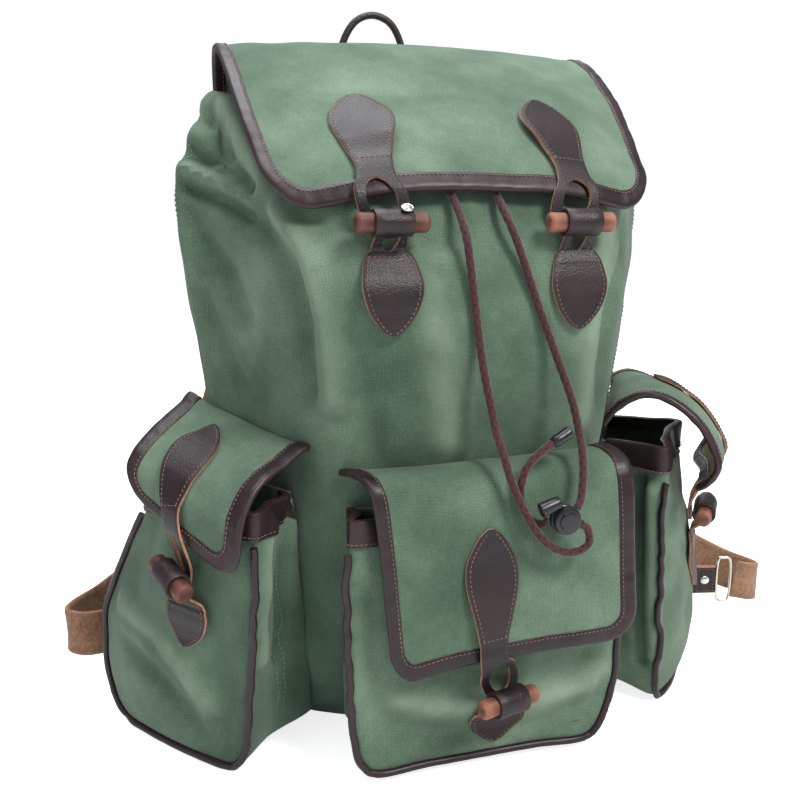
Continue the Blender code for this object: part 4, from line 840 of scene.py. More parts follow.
# The leather strip folded over a sheet's three free edges
def clothBinding(name, sheet, corner, values):
    thick = values["bindingThick"] / 2
    width = values["binding"]
    profile = [(width, 0.62 * thick), (width - 0.0005, 0.78 * thick), (0.74 * width, 0.80 * thick),
               (0.50 * width, 0.96 * thick), (0.28 * width, thick), (0.12 * width, 0.86 * thick),
               (0.0004, 0.50 * thick), (0.0, 0.0)]
    profile += [(d, -h) for d, h in reversed(profile[:-1])]
    lines = [hemLine(sheet.width, sheet.length, corner, depth) for depth, _ in profile]
    run = runOf(sheet.at(lines[7][:, 0], lines[7][:, 1])[0])
    pull = 1.0 + 0.10 * np.sin(run * 420.0) * np.sin(run * 97.0)
    rows = [sheet.at(line[:, 0], line[:, 1], height * pull)[0]
            for line, (_, height) in zip(lines, profile)]
    points = np.array(rows)
    girth = runOf(np.array(profile))
    uv = clothGrid(run, girth)
    draft = Draft()
    wear = np.exp(-((np.arange(len(profile)) - 7) / 1.6) ** 2)[:, None] * 0.55
    draft.grid(points, uv, worn=wear * np.ones(len(run)))
    draft.grid(np.stack([points[0], points[-1]]), uv[:2])
    draft.cap(points[:, 0])
    draft.cap(points[:, -1])
    return draft.close(name, [smoothLeather], 50.0)


stitchRuns = {"trim": [], "cloth": []}


def bindingStitches(sheet, corner, values):
    line = hemLine(sheet.width, sheet.length, corner, values["stitchInset"])[2:-2]
    height = 0.40 * values["bindingThick"]
    for side in (1, -1):
        stitchRuns["trim"].append(sheet.at(line[:, 0], line[:, 1], side * (height + 0.0002))[0])


lidValues = {"thickness": 0.0026, "corner": 0.040, "arch": 0.006,
             "across": (-1.0, -0.75, -0.4, 0.0, 0.4, 0.75, 1.0)}
# The lid's middle in y and z, its half width there, and how far its sides droop
lidRows = metres((
    (878, 4400, 1440, 0),
    (910, 4660, 1450, 10),
    (890, 4860, 1460, 30),
    (800, 5000, 1470, 50),
    (620, 5055, 1480, 70),
    (360, 4985, 1480, 80),
    (50, 4810, 1470, 100),
    (-270, 4580, 1450, 120),
    (-580, 4320, 1410, 140),
    (-820, 4090, 1370, 150),
    (-930, 3960, 1340, 160),
))


def lidSheet(values):
    middle = np.array([(y, z) for y, z, _, _ in lidRows])
    tangents = unit(np.gradient(middle, axis=0))
    columns = []
    for fraction in values["across"]:
        reach = abs(fraction)
        column = []
        for k, (y, z, half, droop) in enumerate(lidRows):
            outward = np.array((tangents[k][1], -tangents[k][0]))
            outward = outward if outward[1] >= 0 or outward[0] > 0 else -outward
            y2, z2 = np.array((y, z)) - outward * droop * reach**2.4
            if k == len(lidRows) - 1:
                z2 -= values["arch"] * min(reach / 0.75, 1.0) ** 2
            column.append((fraction * half, y2, z2))
        columns.append(column)
    width = 2 * max(row[2] for row in lidRows)
    length = lineLength(columns[3])
    net = [smoothLine(column, 25) for column in columns]

    def uneven(x, y):
        waves = ripple(x, y, 0.11, 21) * 0.0011 + ripple(x, y, 0.042, 22) * 0.0004
        return waves * np.clip(y / 0.03, 0, 1)
    return Sheet(net, width, length, -1.0, uneven)


def buildLid():
    sheet = lidSheet(lidValues)
    corner = lidValues["corner"]
    panel, area = clothPanel("lidCloth", sheet, corner, lidValues["thickness"], [canvas], sheetValues)
    finishPiece(panel, "lid_canvas", "lid")
    edge = clothBinding("lidBinding", sheet, corner, sheetValues)
    finishPiece(edge, "lid_binding_leather", "lid_binding")
    bindingStitches(sheet, corner, sheetValues)
    return sheet, panel, edge


lidCloth, lidPanel, lidEdge = buildLid()
print("lid made")


# Pockets are measured along their outer face (s), inwards from it (q) and upwards (z).
# Each row holds z, s at the front and the rear edge, the face's bulge and the gusset's swell.

pocketValues = {"sides": 190, "rows": 76, "wall": 0.0022, "lift": 0.020, "seatMargin": 0.014,
                "seatLow": 0.045, "clear": 0.0010, "probe": 0.005, "probeReach": 0.14,
                "pipingRadius": 0.0026, "pipingGap": -0.0008, "pipingLow": 0.0029,
                "pipingSides": 14, "band": 0.017, "bandGap": 0.0006, "bandThick": 0.0022,
                "bandFree": 0.0065}
sideRows = metres((
    (35, 0, 1140, 40, 0),
    (80, -60, 1250, 70, 40),
    (200, -120, 1330, 100, 80),
    (450, -160, 1390, 120, 130),
    (900, -200, 1310, 120, 180),
    (1380, -250, 1060, 80, 120),
    (1700, -270, 860, 30, 60),
    (1900, -270, 780, -40, 30),
))
frontRows = metres((
    (80, -840, 760, -20, 0),
    (130, -910, 840, 10, 10),
    (270, -970, 910, 30, 20),
    (500, -990, 960, 50, 20),
    (900, -1000, 980, 80, 20),
    (1380, -1010, 980, 80, 20),
    (1650, -1000, 970, 30, 10),
    (1850, -980, 960, -50, 0),
))


# A pocket's own frame, its rings and the pieces made from them
class Pocket:
    def __init__(self, name, corner, along, inward, rows, seats, rise=0.0, fullness=1.0, folds=(),
                 seed=5):
        self.name, self.rows, self.seats, self.fullness = name, rows, seats, fullness
        self.rows = rows[:-1] + ((rows[-1][0] + rise, *rows[-1][1:]),)
        self.corner = np.array((*corner, 0.0))
        self.along = np.array((*along, 0.0))
        self.inward = np.array((*inward, 0.0))
        self.folds, self.seed = folds, seed

    def world(self, s, q, z):
        return self.corner + self.along * s + self.inward * q + upWay * z

    def seatDepth(self, s, z):
        s = min(max(s, self.seats[0] - pocketValues["seatMargin"]), self.seats[1])
        start = self.world(s, -0.060, max(z, pocketValues["seatLow"]))
        hit = np.array(cadSurface.ray_cast(Vector(start), Vector(self.inward))[0])
        depth = float(np.dot(hit - self.world(s, 0.0, 0.0), self.inward))
        return depth - pocketValues["clear"]

    def outsideBody(self, point, clear):
        outward = -self.inward
        needed = 0.0
        step, reach = pocketValues["probe"], pocketValues["probeReach"]
        for side, rise in crossSteps:
            near = point + self.along * side * step + upWay * rise * step
            start = Vector(near + outward * reach)
            hit = cadSurface.ray_cast(start, Vector(self.inward), reach + clear)[0]
            if hit is not None:
                needed = max(needed, float(np.dot(np.array(hit) - point, outward)) + clear)
        return point + outward * needed

    # The outline's guiding points at each of the table's rows
    def controls(self):
        stack = []
        first, last = self.seats
        for z, start, end, bulge, swell in self.rows:
            seat = [first + (last - first) * k / 4 for k in range(5)]
            depth = [self.seatDepth(s, z) for s in seat]
            lift = pocketValues["lift"] * max(0.0, 1.0 - z / 0.06)
            middle = (start + end) / 2
            bulge *= self.fullness if bulge > 0 else 1.0
            path = [(s, q, z + lift) for s, q in zip(seat, depth)]
            path += [
                (0.5 * (end + last) + swell / self.fullness**2, 0.5 * depth[-1], z + 0.5 * lift),
                (end + 0.25 * swell / self.fullness**2, 0.10 * depth[-1], z),
                (end - 0.006, -0.001, z),
                (0.5 * (end + middle), -0.8 * bulge, z),
                (middle, -bulge, z),
                (0.5 * (start + middle), -0.8 * bulge, z),
                (start + 0.006, -0.001, z),
                (start, 0.10 * depth[0], z),
                (0.5 * (start + first) + 0.004, 0.5 * depth[0], z + 0.5 * lift),
            ]
            stack.append(path)
        return np.array(stack)

    def rings(self):
        stack = self.controls()
        flat = smoothLine(stack.reshape(len(stack), -1), pocketValues["rows"])
        sides = pocketValues["sides"]
        local = np.array([smoothLine(row.reshape(-1, 3), sides, closed=True) for row in flat])
        points = (self.corner + local[..., :1] * self.along + local[..., 1:2] * self.inward
                  + local[..., 2:] * upWay)
        normals = outwardOf(points)
        worn = np.zeros(points.shape[:2])
        cad = surfaceOf(frame["nodes"][self.name])
        for depth, width, line in self.folds:
            near = np.exp(-(nearLine(points, line, cad) / width) ** 2)
            points = points - normals * (depth * near)[..., None]
            worn = np.maximum(worn, near * (0.6 if depth < 0 else 0.0))
        run = np.arange(points.shape[1])[None, :] / points.shape[1] * 0.42
        z = local[..., 2]
        fade = np.clip((z - 0.012) / 0.03, 0, 1)
        uneven = (ripple(run, z, 0.060, self.seed) * 0.0013
                  + ripple(run, z * 0.7, 0.028, self.seed + 1) * 0.0006)
        points = points + normals * (uneven * fade)[..., None]
        clear = pocketValues["clear"]
        points = np.array([[self.outsideBody(p, clear) for p in ring] for ring in points])
        points[..., 2] = np.maximum(points[..., 2], self.rows[0][0])
        return points, worn


def buildPocket(pocket):
    points, worn = pocket.rings()
    made = pouch(pocket.name + "Cloth", points, pocketValues["wall"], worn)
    finishPiece(made, pocket.name + "_canvas", pocket.name)
    pocket.points, pocket.cloth, pocket.surface = points, made, surfaceOf(made)


# The corded seam down both edges and along the foot of a pocket's face
def pocketPiping(pocket):
    radius = pocketValues["pipingRadius"]
    clear = radius + pocketValues["pipingGap"]
    points = pocket.points
    local = points - pocket.corner
    s, q, z = local @ pocket.along, local @ pocket.inward, points[..., 2]
    foot = int(np.argmin(np.abs(z.mean(axis=1) - pocket.rows[1][0])))
    top = pocket.rows[-1][0] - pocketValues["band"] - 0.0035
    fronts, rears = [], []
    for k in range(foot, len(points), 2):
        level = float(z[k].min())
        if level > top:
            break
        for found, slant in ((fronts, -1.0), (rears, 1.0)):
            best = int(np.argmax(slant * s[k] - q[k]))
            found.append((s[k][best] + slant * clear * 0.71, q[k][best] - clear * 0.71, z[k][best]))
    first, last = fronts[0], rears[0]
    under = []
    for share in (0.12, 0.3, 0.5, 0.7, 0.88):
        along = first[0] + (last[0] - first[0]) * share
        near = q[foot][np.abs(s[foot] - along) < 0.006].min()
        under.append((along, near - clear, 0.0))
    line = fronts[:0:-1] + [(first[0], first[1], 0.0)] + under + [(last[0], last[1], 0.0)] + rears[1:]
    path = smoothLine([pocket.world(*p) for p in line], 240)
    low = max(pocketValues["pipingLow"], pocket.rows[0][0] - 0.0007)
    for settle in range(5):
        path[:, 2] = np.maximum(path[:, 2], low)
        for k, point in enumerate(path):
            hit = np.array(pocket.surface.find_nearest(Vector(point))[0])
            path[k] = hit + unit(point - hit) * clear
        if settle < 4:
            path[1:-1] = (path[:-2] + 2 * path[1:-1] + path[2:]) / 4
    path[:, 2] = np.maximum(path[:, 2], low)
    _, side, over = lineFrames(path, pocket.inward)
    run = runOf(path)
    sides = pocketValues["pipingSides"]
    size = radius * (1.0 + 0.03 * np.sin(run * 310.0) * np.sin(run * 83.0))
    tube = ringsAround(path, side, over, size[:, None], turnsOf(sides))
    uv = clothGrid(girthOf(radius, sides), run)
    made = tubePiece(pocket.name + "Piping", tube, uv, 0.12, [smoothLeather], 60.0)
    finishPiece(made, pocket.name + "_piping_leather", pocket.name + "_piping")
    pocket.pipingSurface = surfaceOf(made)


# A leather band folded over the pocket's open rim
def mouthBand(pocket):
    points = pocket.points
    ring = points[-1]
    edges = np.roll(ring, -1, axis=0) - ring
    normals = unit(np.cross(edges, upWay))
    outward = unit(normals + np.roll(normals, 1, axis=0))
    for _ in range(8):
        outward = unit(np.roll(outward, 1, axis=0) + outward + np.roll(outward, -1, axis=0))
    if ((ring - ring.mean(axis=0)) * outward).sum() < 0:
        outward = -outward
    count = len(ring)
    apart = pocketValues["bandFree"]
    free = np.array([cadSurface.find_nearest(Vector(p))[3] > apart for p in ring])
    start = next(k for k in range(count) if free[k] and not free[k - 1])
    keep = []
    k = start
    while free[k % count] and len(keep) < count:
        keep.append(k % count)
        k += 1
    drop = points[-1, :, 2].mean() - points[:, :, 2].mean(axis=1)
    low = int(np.argmin(np.abs(drop - pocketValues["band"])))
    gap, thick = pocketValues["bandGap"], pocketValues["bandThick"]
    wall = pocketValues["wall"]
    profile = []
    levels = list(range(low, len(points), 3)) + [len(points) - 1]
    for n, level in enumerate(levels):
        puff = thick * (0.75 if n == 0 else 1.0)
        profile.append(points[level][keep] + outward[keep] * (gap + puff))
    rim = points[-1][keep]
    profile.append(rim + outward[keep] * (gap + 0.7 * thick) + upWay * 0.0017)
    profile.append(rim - outward[keep] * (wall * 0.5) + upWay * 0.0024)
    profile.append(rim - outward[keep] * (wall + gap + 0.0006) + upWay * 0.0014)
    profile.append(rim - outward[keep] * (wall + gap + 0.0010) - upWay * 0.008)
    profile.append(rim - outward[keep] * (wall * 0.5) - upWay * 0.008)
    profile.append(points[low][keep] - outward[keep] * 0.0002)
    grid = np.array(profile)
    closed = np.concatenate([grid, grid[:1]])
    draft = Draft()
    worn = np.zeros(len(closed))
    worn[len(levels):len(levels) + 2] = 0.5
    draft.grid(closed, plainUv(closed)[..., ::-1], worn=worn[:, None])
    draft.cap(grid[:, 0])
    draft.cap(grid[:, -1])
    name = pocket.name.replace("pocket", "mouth") + "_binding"
    made = draft.close(pocket.name + "Band", [smoothLeather], 50.0)
    finishPiece(made, name + "_leather", name)
    pocket.bandSurface = surfaceOf(made)
    level = points[low + int((len(points) - 1 - low) * 0.16)][keep]
    stitchRuns["trim"].append(level[4:-4] + outward[keep][4:-4] * (gap + thick + 0.0001))


leftFolds = metres((
    (90, 50, ((-1180, -500, 1900), (-1260, -570, 1600), (-1290, -580, 1170), (-1320, -580, 760))),
    (-60, 60, ((-1420, -760, 1790), (-1450, -810, 1560), (-1470, -800, 1210), (-1500, -770, 840))),
    (-45, 90, ((-2320, 170, 1000), (-2170, -160, 930), (-1990, -420, 750), (-1850, -590, 510))),
    (50, 90, ((-2350, 200, 680), (-2180, -150, 600), (-2010, -390, 440), (-1880, -520, 220))),
    (45, 100, ((-1770, -670, 980), (-1740, -690, 690), (-1730, -690, 430), (-1750, -650, 190))),
))
rightFolds = metres((
    (80, 50, ((1410, -720, 1840), (1420, -720, 1370), (1450, -710, 880), (1510, -710, 370))),
    (-50, 60, ((1450, -820, 1780), (1480, -810, 1310), (1530, -770, 890), (1590, -750, 460))),
    (45, 90, ((1900, -600, 1200), (2050, -350, 1000), (2250, -50, 900), (2400, 250, 860))),
))
frontFolds = metres((
    (40, 90, ((-840, -1140, 1330), (-820, -1140, 980), (-780, -1140, 620), (-690, -1140, 310))),
    (-35, 90, ((-620, -1160, 600), (-340, -1160, 510), (570, -1160, 480), (900, -1140, 580))),
    (45, 90, ((-620, -1150, 410), (-260, -1150, 280), (350, -1140, 220), (740, -1140, 330))),
    (35, 80, ((800, -1150, 750), (900, -1140, 580), (880, -1130, 350), (750, -1140, 210))),
))


def makePockets():
    leftTurn, rightTurn = radians(34), radians(38)
    seats = (-0.012, 0.074)
    left = Pocket("side_pocket_left", (-0.168, -0.068), (-sin(leftTurn), cos(leftTurn)),
                  (cos(leftTurn), sin(leftTurn)), sideRows, seats, folds=leftFolds, seed=31)
    right = Pocket("side_pocket_right", (0.168, -0.068), (sin(rightTurn), cos(rightTurn)),
                   (-cos(rightTurn), sin(rightTurn)), sideRows, seats, rise=0.020, fullness=1.6,
                   folds=rightFolds, seed=41)
    front = Pocket("front_pocket", (0.005, -0.112), (1.0, 0.0), (0.0, 1.0), frontRows, (-0.088, 0.088),
                   folds=frontFolds, seed=51)
    for pocket in (left, right, front):
        buildPocket(pocket)
        pocketPiping(pocket)
        mouthBand(pocket)
    return left, right, front


leftPocket, rightPocket, frontPocket = makePockets()
print("pockets made")


# Flaps: s at the seam and at the hem, then (q, z) from the seam over the top and down

flapValues = {"thickness": 0.0026, "corner": 0.022, "seamGap": 0.0016, "probe": 0.006, "clear": 0.0032}
flapSheets = {**sheetValues, "binding": 0.0115, "stitchInset": 0.0096}
leftFlap = metres((
    (-330, -330,
     ((560, 2260), (440, 2250), (270, 2190), (20, 2090), (-135, 1910), (-175, 1670), (-175, 1470))),
    (100, 100,
     ((600, 2300), (450, 2280), (260, 2210), (20, 2100), (-125, 1950), (-165, 1780), (-160, 1620))),
    (450, 440,
     ((640, 2380), (470, 2360), (280, 2280), (40, 2170), (-110, 2040), (-155, 1890), (-150, 1760))),
    (940, 750,
     ((720, 2470), (560, 2490), (360, 2420), (60, 2280), (-120, 2140), (-180, 2020), (-180, 1910))),
))
rightFlap = metres((
    (-300, -300,
     ((540, 2260), (380, 2400), (160, 2490), (-80, 2420), (-260, 2230), (-360, 2000), (-200, 1780))),
    (100, 120,
     ((580, 2320), (400, 2440), (180, 2500), (-80, 2420), (-270, 2230), (-370, 2000), (-220, 1780))),
    (450, 560,
     ((640, 2380), (460, 2470), (240, 2500), (-10, 2400), (-210, 2210), (-320, 1990), (-190, 1770))),
    (740, 1000,
     ((720, 2420), (560, 2480), (360, 2470), (120, 2350), (-80, 2160), (-200, 1960), (-90, 1740))),
))
frontFlap = metres((
    (-990, -760,
     ((195, 2110), (120, 2125), (0, 2110), (-70, 2010), (-100, 1700), (-130, 1250), (-160, 760))),
    (-400, -300,
     ((195, 2130), (100, 2150), (-50, 2120), (-150, 1990), (-180, 1680), (-200, 1260), (-200, 860))),
    (300, 340,
     ((195, 2150), (100, 2170), (-50, 2140), (-150, 2010), (-190, 1690), (-220, 1280), (-220, 900))),
    (990, 990,
     ((195, 2150), (120, 2160), (-20, 2130), (-90, 2020), (-140, 1700), (-190, 1300), (-230, 900))),
))


def flapSheet(pocket, table, seed):
    columns = []
    for seamS, hemS, profile in table:
        slide = seamS + (hemS - seamS) * np.linspace(0.0, 1.0, len(profile))
        shift = pocket.seatDepth(seamS, profile[0][1]) - flapValues["seamGap"] - profile[0][0]
        pulled = [q + shift * share for (q, _), share in zip(profile, (1.0, 0.4, 0, 0, 0, 0, 0))]
        columns.append([pocket.world(s, q, z) for s, q, (_, z) in zip(slide, pulled, profile)])
    width = abs(table[-1][1] - table[0][1])
    length = lineLength(columns[1])
    plain = Sheet([smoothLine(column, 25) for column in columns], width, length)
    _, normal, _ = plain.at(0.0, length * 0.8)
    sign = -1.0 if float(np.dot(normal, pocket.inward)) > 0 else 1.0
    x, y = np.meshgrid(np.linspace(-width / 2, width / 2, 19), np.linspace(0, length, 23),
                       indexing="ij")
    here, facing, _ = plain.at(x, y)
    facing = facing * sign
    hosts = [pocket.surface, pocket.pipingSurface, pocket.bandSurface]
    need = np.zeros(x.shape)
    step = flapValues["probe"]
    for dx, dy in crossSteps:
        near = plain.at(x + dx * step, y + dy * step)[0]
        for i in np.ndindex(x.shape):
            need[i] = max(need[i], pushNeeded(near[i], facing[i], hosts, flapValues["clear"], 0.03))
    padded = np.pad(need, 1, mode="edge")
    wide, long = x.shape
    blurred = sum(padded[a:a + wide, b:b + long] for a in range(3) for b in range(3)) / 9
    need = np.maximum(need, blurred)
    net = np.array([[pocket.outsideBody(here[i, j] + facing[i, j] * need[i, j], flapValues["seamGap"])
                     for j in range(long)] for i in range(wide)])

    def uneven(a, b):
        return (1.0 + ripple(a, b, 0.055, seed)) * 0.0007 * np.clip(b / 0.02, 0, 1)
    return Sheet(net, width, length, sign, uneven)


def buildFlap(pocket, table, seed):
    sheet = flapSheet(pocket, table, seed)
    name = pocket.name.replace("pocket", "flap")
    corner = flapValues["corner"]
    panel, area = clothPanel(name + "Cloth", sheet, corner, flapValues["thickness"], [canvas, khaki],
                             {**flapSheets, "columns": 60, "rows": 64})
    finishPiece(panel, name + "_canvas", name)
    edge = clothBinding(name + "Edge", sheet, corner, flapSheets)
    finishPiece(edge, name + "_binding_leather", name + "_binding")
    bindingStitches(sheet, corner, flapSheets)
    pocket.flap, pocket.flapHosts = sheet, [surfaceOf(panel), surfaceOf(edge)]


buildFlap(leftPocket, leftFlap, 61)
buildFlap(rightPocket, rightFlap, 62)
buildFlap(frontPocket, frontFlap, 63)
print("flaps made")


# Fasteners: a leather tab with a loop, a wooden toggle in a leather wrap, and a stitched patch

fastenerValues = {"leather": 0.0024, "gap": 0.0004, "toggleLength": 0.048, "toggleRadius": 0.0065,
                  "wrapLength": 0.025, "wrapOuter": 0.0091, "wrapWall": 0.0019, "wrapSides": 54,
                  "stitchInset": 0.0027, "tabLength": 0.1005, "patchLength": 0.067}
# Along the tab from its tip, and its half width
tabRows = metres((
    (0, 20), (30, 82), (80, 138), (170, 205), (280, 215), (420, 170), (560, 125), (660, 124),
    (740, 158), (820, 168), (900, 158), (960, 125), (993, 75), (1005, 15),
))
# Each eye's place along the piece, its half length and half width
tabEye = (0.0800, 0.0120, 0.0098)
# Along the lower patch from the toggle: two thongs, then the shield, with its half width
patchRows = metres((
    (0, 105), (120, 118), (138, 140), (200, 168), (260, 185), (380, 200), (520, 160), (620, 88),
    (655, 45), (670, 10),
))
patchEye = (0.0020, 0.0110, 0.0056)
# The tab: how far down its flap it starts, x across the flap at its tip and hem, and its breadth
pocketTabs = {
    "side_pocket_left": (0.17, 0.018, -0.002, 0.74),
    "side_pocket_right": (0.26, 0.0155, 0.0155, 0.84),
    "front_pocket": (0.40, -0.0085, -0.0085, 0.84),
}
# The toggle's s, z and stand-off, its turn and dip in degrees, then the patch's drop and reach
pocketToggles = {
    "side_pocket_left": (0.028, 0.142, 0.0175, 16.0, -12.0, 0.021, 0.031),
    "side_pocket_right": (0.050, 0.146, 0.0155, 0.0, -6.0, 0.017, 0.048),
    "front_pocket": (0.003, 0.058, 0.0190, 16.0, 0.0, 0.017, 0.024),
}
lidFastener = {"x": 0.065, "y": -0.1080, "z": 0.3750, "tip": 0.665, "tabX": (0.057, 0.064),
               "drop": 0.018, "reach": 0.052}


# A stitched leather strip along a line, with an eye through it; edges are cut and raw
def leatherStrip(name, centres, hints, outward, widthAt, eyeAt, length, hosts, seams, liftFrom=0.0):
    thick = fastenerValues["leather"]
    count = 110
    path = smoothLine(centres, count)
    hint = smoothLine(hints, count)
    along = np.linspace(0.0, length, count)
    tangents, side, normal = lineFrames(path, hint)
    normal = normal * np.where((normal @ outward) > 0, 1.0, -1.0)[:, None]
    width, eye = widthAt(along), eyeAt(along)
    if hosts:
        clear = fastenerValues["gap"] + thick / 2
        need = []
        for k in range(count):
            worst = 0.0
            if along[k] >= liftFrom:
                for x in (-1.0, -0.5, 0.0, 0.5, 1.0):
                    here = path[k] + side[k] * x * width[k]
                    worst = max(worst, pushNeeded(here, normal[k], hosts, clear))
            need.append(worst)
        path = path + normal * evened(need, 3)[:, None]
        path[1:-1] = (path[:-2] + 2 * path[1:-1] + path[2:]) / 4
    draft = Draft()
    shares = np.array([0.0, 0.05, 0.14, 0.32, 0.55, 0.80, 1.0])
    drop = np.array([0.55, 0.86, 1.0, 1.0, 1.0, 1.0, 0.94])
    openAt = eye > 1e-5

    def half(sign):
        x = sign * (width[:, None] + (eye - width)[:, None] * shares[None, :])
        base = path[:, None] + side[:, None] * x[..., None]
        edge = drop[None, :] * np.where(openAt[:, None] | (shares[None, :] < 0.9), 1.0, 1.06)
        top = base + normal[:, None] * (thick / 2 * edge)[..., None]
        under = base - normal[:, None] * (thick / 2 * (0.5 + 0.5 * edge))[..., None]
        return x, top, under

    for sign in (-1, 1):
        x, top, under = half(sign)
        uv = np.stack(np.broadcast_arrays(x, along[:, None]), 2)
        worn = np.exp(-(np.minimum(shares, 2.0) / 0.05) ** 2)[None, :] * 0.8
        draft.grid(top, uv, 0, worn=worn)
        draft.grid(under, uv, 1)
        draft.grid(np.stack([top[:, 0], under[:, 0]], 1), uv[:, :2], 1)
        for k in np.nonzero(openAt[:-1] | openAt[1:])[0]:
            draft.grid(np.stack([top[k:k + 2, -1], under[k:k + 2, -1]], 1), uv[k:k + 2, -2:], 1)
        for k in (0, -1):
            draft.grid(np.stack([top[k], under[k]]), uv[:2], 1)
    lift = thick / 2 + 0.0001
    for first, last, crossing in seams:
        inside = (along >= first) & (along <= last)
        for sign in (-1, 1):
            x = sign * np.maximum(width - fastenerValues["stitchInset"], 0.0004)
            stitchRuns["trim"].append((path + side * x[:, None] + normal * lift)[inside])
        if crossing:
            k = int(np.argmin(np.abs(along - crossing)))
            x = np.linspace(-1, 1, 12) * (width[k] - fastenerValues["stitchInset"])
            stitchRuns["trim"].append(path[k] + side[k] * x[:, None] + normal[k] * lift)
    return finishPiece(draft.close(name + "Leather", [leather, rawEdge], 50.0, weld=4e-6),
                       name + "_leather", name)


def rowWidths(rows, scale, breadth):
    table = smoothLine(rows, 300, dense=12)
    return lambda along: np.interp(along / scale, table[:, 0], table[:, 1]) * breadth


def eyeWidths(eye, scale, breadth):
    centre, reach, size = eye

    def at(along):
        share = 1.0 - ((along / scale - centre) / reach) ** 2
        return np.where(share > 0.0, size * breadth * np.sqrt(np.maximum(share, 0.0)), 0.0)
    return at


# The tab runs down its sheet to the hem, then hangs as a loop behind the toggle
def makeTab(name, sheet, tab, toggle, axis, outward, hosts):
    centres, hints = [], []
    tip, tipX, hemX, breadth = tab
    start, reach = sheet.length * tip, sheet.length - 0.001
    for k in range(9):
        here, normal, across = sheet.at(tipX + (hemX - tipX) * k / 8, start + (reach - start) * k / 8)
        extra = 0.0013 if k >= 6 else 0.0
        centres.append(here + normal * (fastenerValues["gap"] + 0.0025 + extra))
        hints.append(across)
    behind = toggle - outward * (fastenerValues["wrapOuter"] + 0.0028)
    centres += [behind + upWay * 0.006, behind - upWay * 0.010]
    hints += [axis, axis]
    length = lineLength(centres)
    scale = length / fastenerValues["tabLength"]
    seams = ((0.002 * scale, 0.054 * scale, 0.0545 * scale),)
    leatherStrip(name, centres, hints, outward, rowWidths(tabRows, scale, breadth),
                 eyeWidths(tabEye, scale, breadth), length, hosts, seams)


# Two thongs come down from the toggle's wrap to a stitched shield on the cloth
def makePatch(name, surface, toggle, axis, across, outward, drop, reach):
    dip = abs(float(axis[2])) * 0.0105
    centres = [toggle - upWay * (fastenerValues["wrapOuter"] * 0.86 + dip) - outward * 0.001]
    for k in range(7):
        start = toggle + outward * 0.04
        start = np.array((start[0], start[1], toggle[2] - drop - reach * k / 6))
        depths = []
        for x in (-0.016, 0.0, 0.016):
            hit = surface.ray_cast(Vector(start + across * x), Vector(-outward))[0]
            if hit is not None:
                depths.append(np.dot(np.array(hit), outward))
        centres.append(start + outward * (max(depths) - np.dot(start, outward) + 0.0016))
    length = lineLength(centres)
    scale = length / fastenerValues["patchLength"]
    seams = ((0.018 * scale, 0.0655 * scale, 0.0185 * scale), (0.004 * scale, 0.011 * scale, 0.0))
    leatherStrip(name, centres, [across] * len(centres), outward, rowWidths(patchRows, scale, 1.0),
                 eyeWidths(patchEye, scale, 1.0), length, [surface], seams, 0.013 * scale)


# A whittled wooden bar with bevelled ends, held by a leather wrap
def makeToggle(toggleNode, wrapNode, centre, axis, wood, seed):
    half, r = fastenerValues["toggleLength"] / 2, fastenerValues["toggleRadius"]
    top = unit(upWay - axis * axis[2])
    stations = ((-half, r - 0.0024), (-half + 0.0007, r - 0.0012), (-half + 0.0022, r),
                (-half + 0.008, r - 0.0001), (-0.006, r - 0.0002), (0.006, r - 0.0002),
                (half - 0.008, r), (half - 0.0022, r), (half - 0.0007, r - 0.0012),
                (half, r - 0.0024))
    bar = turnedPiece(toggleNode + "Bar", centre, axis, top, stations, 36, wood, 0.00028, seed)
    finishPiece(bar, toggleNode + "_wood", toggleNode)
    outer, wall = fastenerValues["wrapOuter"], fastenerValues["wrapWall"]
    wide, inner = fastenerValues["wrapLength"] / 2, outer - wall - 0.0004
    profile = ((-wide, inner), (-wide, outer - 0.0005), (-wide + 0.0006, outer),
               (-wide * 0.4, outer - 0.0002), (wide * 0.4, outer - 0.0002), (wide - 0.0006, outer),
               (wide, outer - 0.0005), (wide, inner), (wide * 0.4, inner), (-wide * 0.4, inner))
    turns = turnsOf(fastenerValues["wrapSides"])
    side = np.cross(axis, top)
    squeeze = 1.0 + 0.025 * np.cos(turns * 2 + seed) + 0.012 * np.cos(turns * 5 + 2 * seed)
    ring = (np.cos(turns) * squeeze)[:, None] * top + (np.sin(turns) * squeeze)[:, None] * side
    points = np.array([[centre + axis * x + way * radius for way in ring] for x, radius in profile])
    draft = Draft()
    closed = np.concatenate([points, points[:1]])
    uv = clothGrid(girthOf(outer, len(turns)), np.linspace(0, 0.056, len(closed)))
    worn = np.zeros(len(closed))
    worn[[1, 2, 5, 6]] = 0.45
    draft.grid(closed, uv, wrap=True, worn=worn[:, None])
    wrap = draft.close(wrapNode + "Band", [leather], 45.0)
    finishPiece(wrap, wrapNode + "_leather", wrapNode)


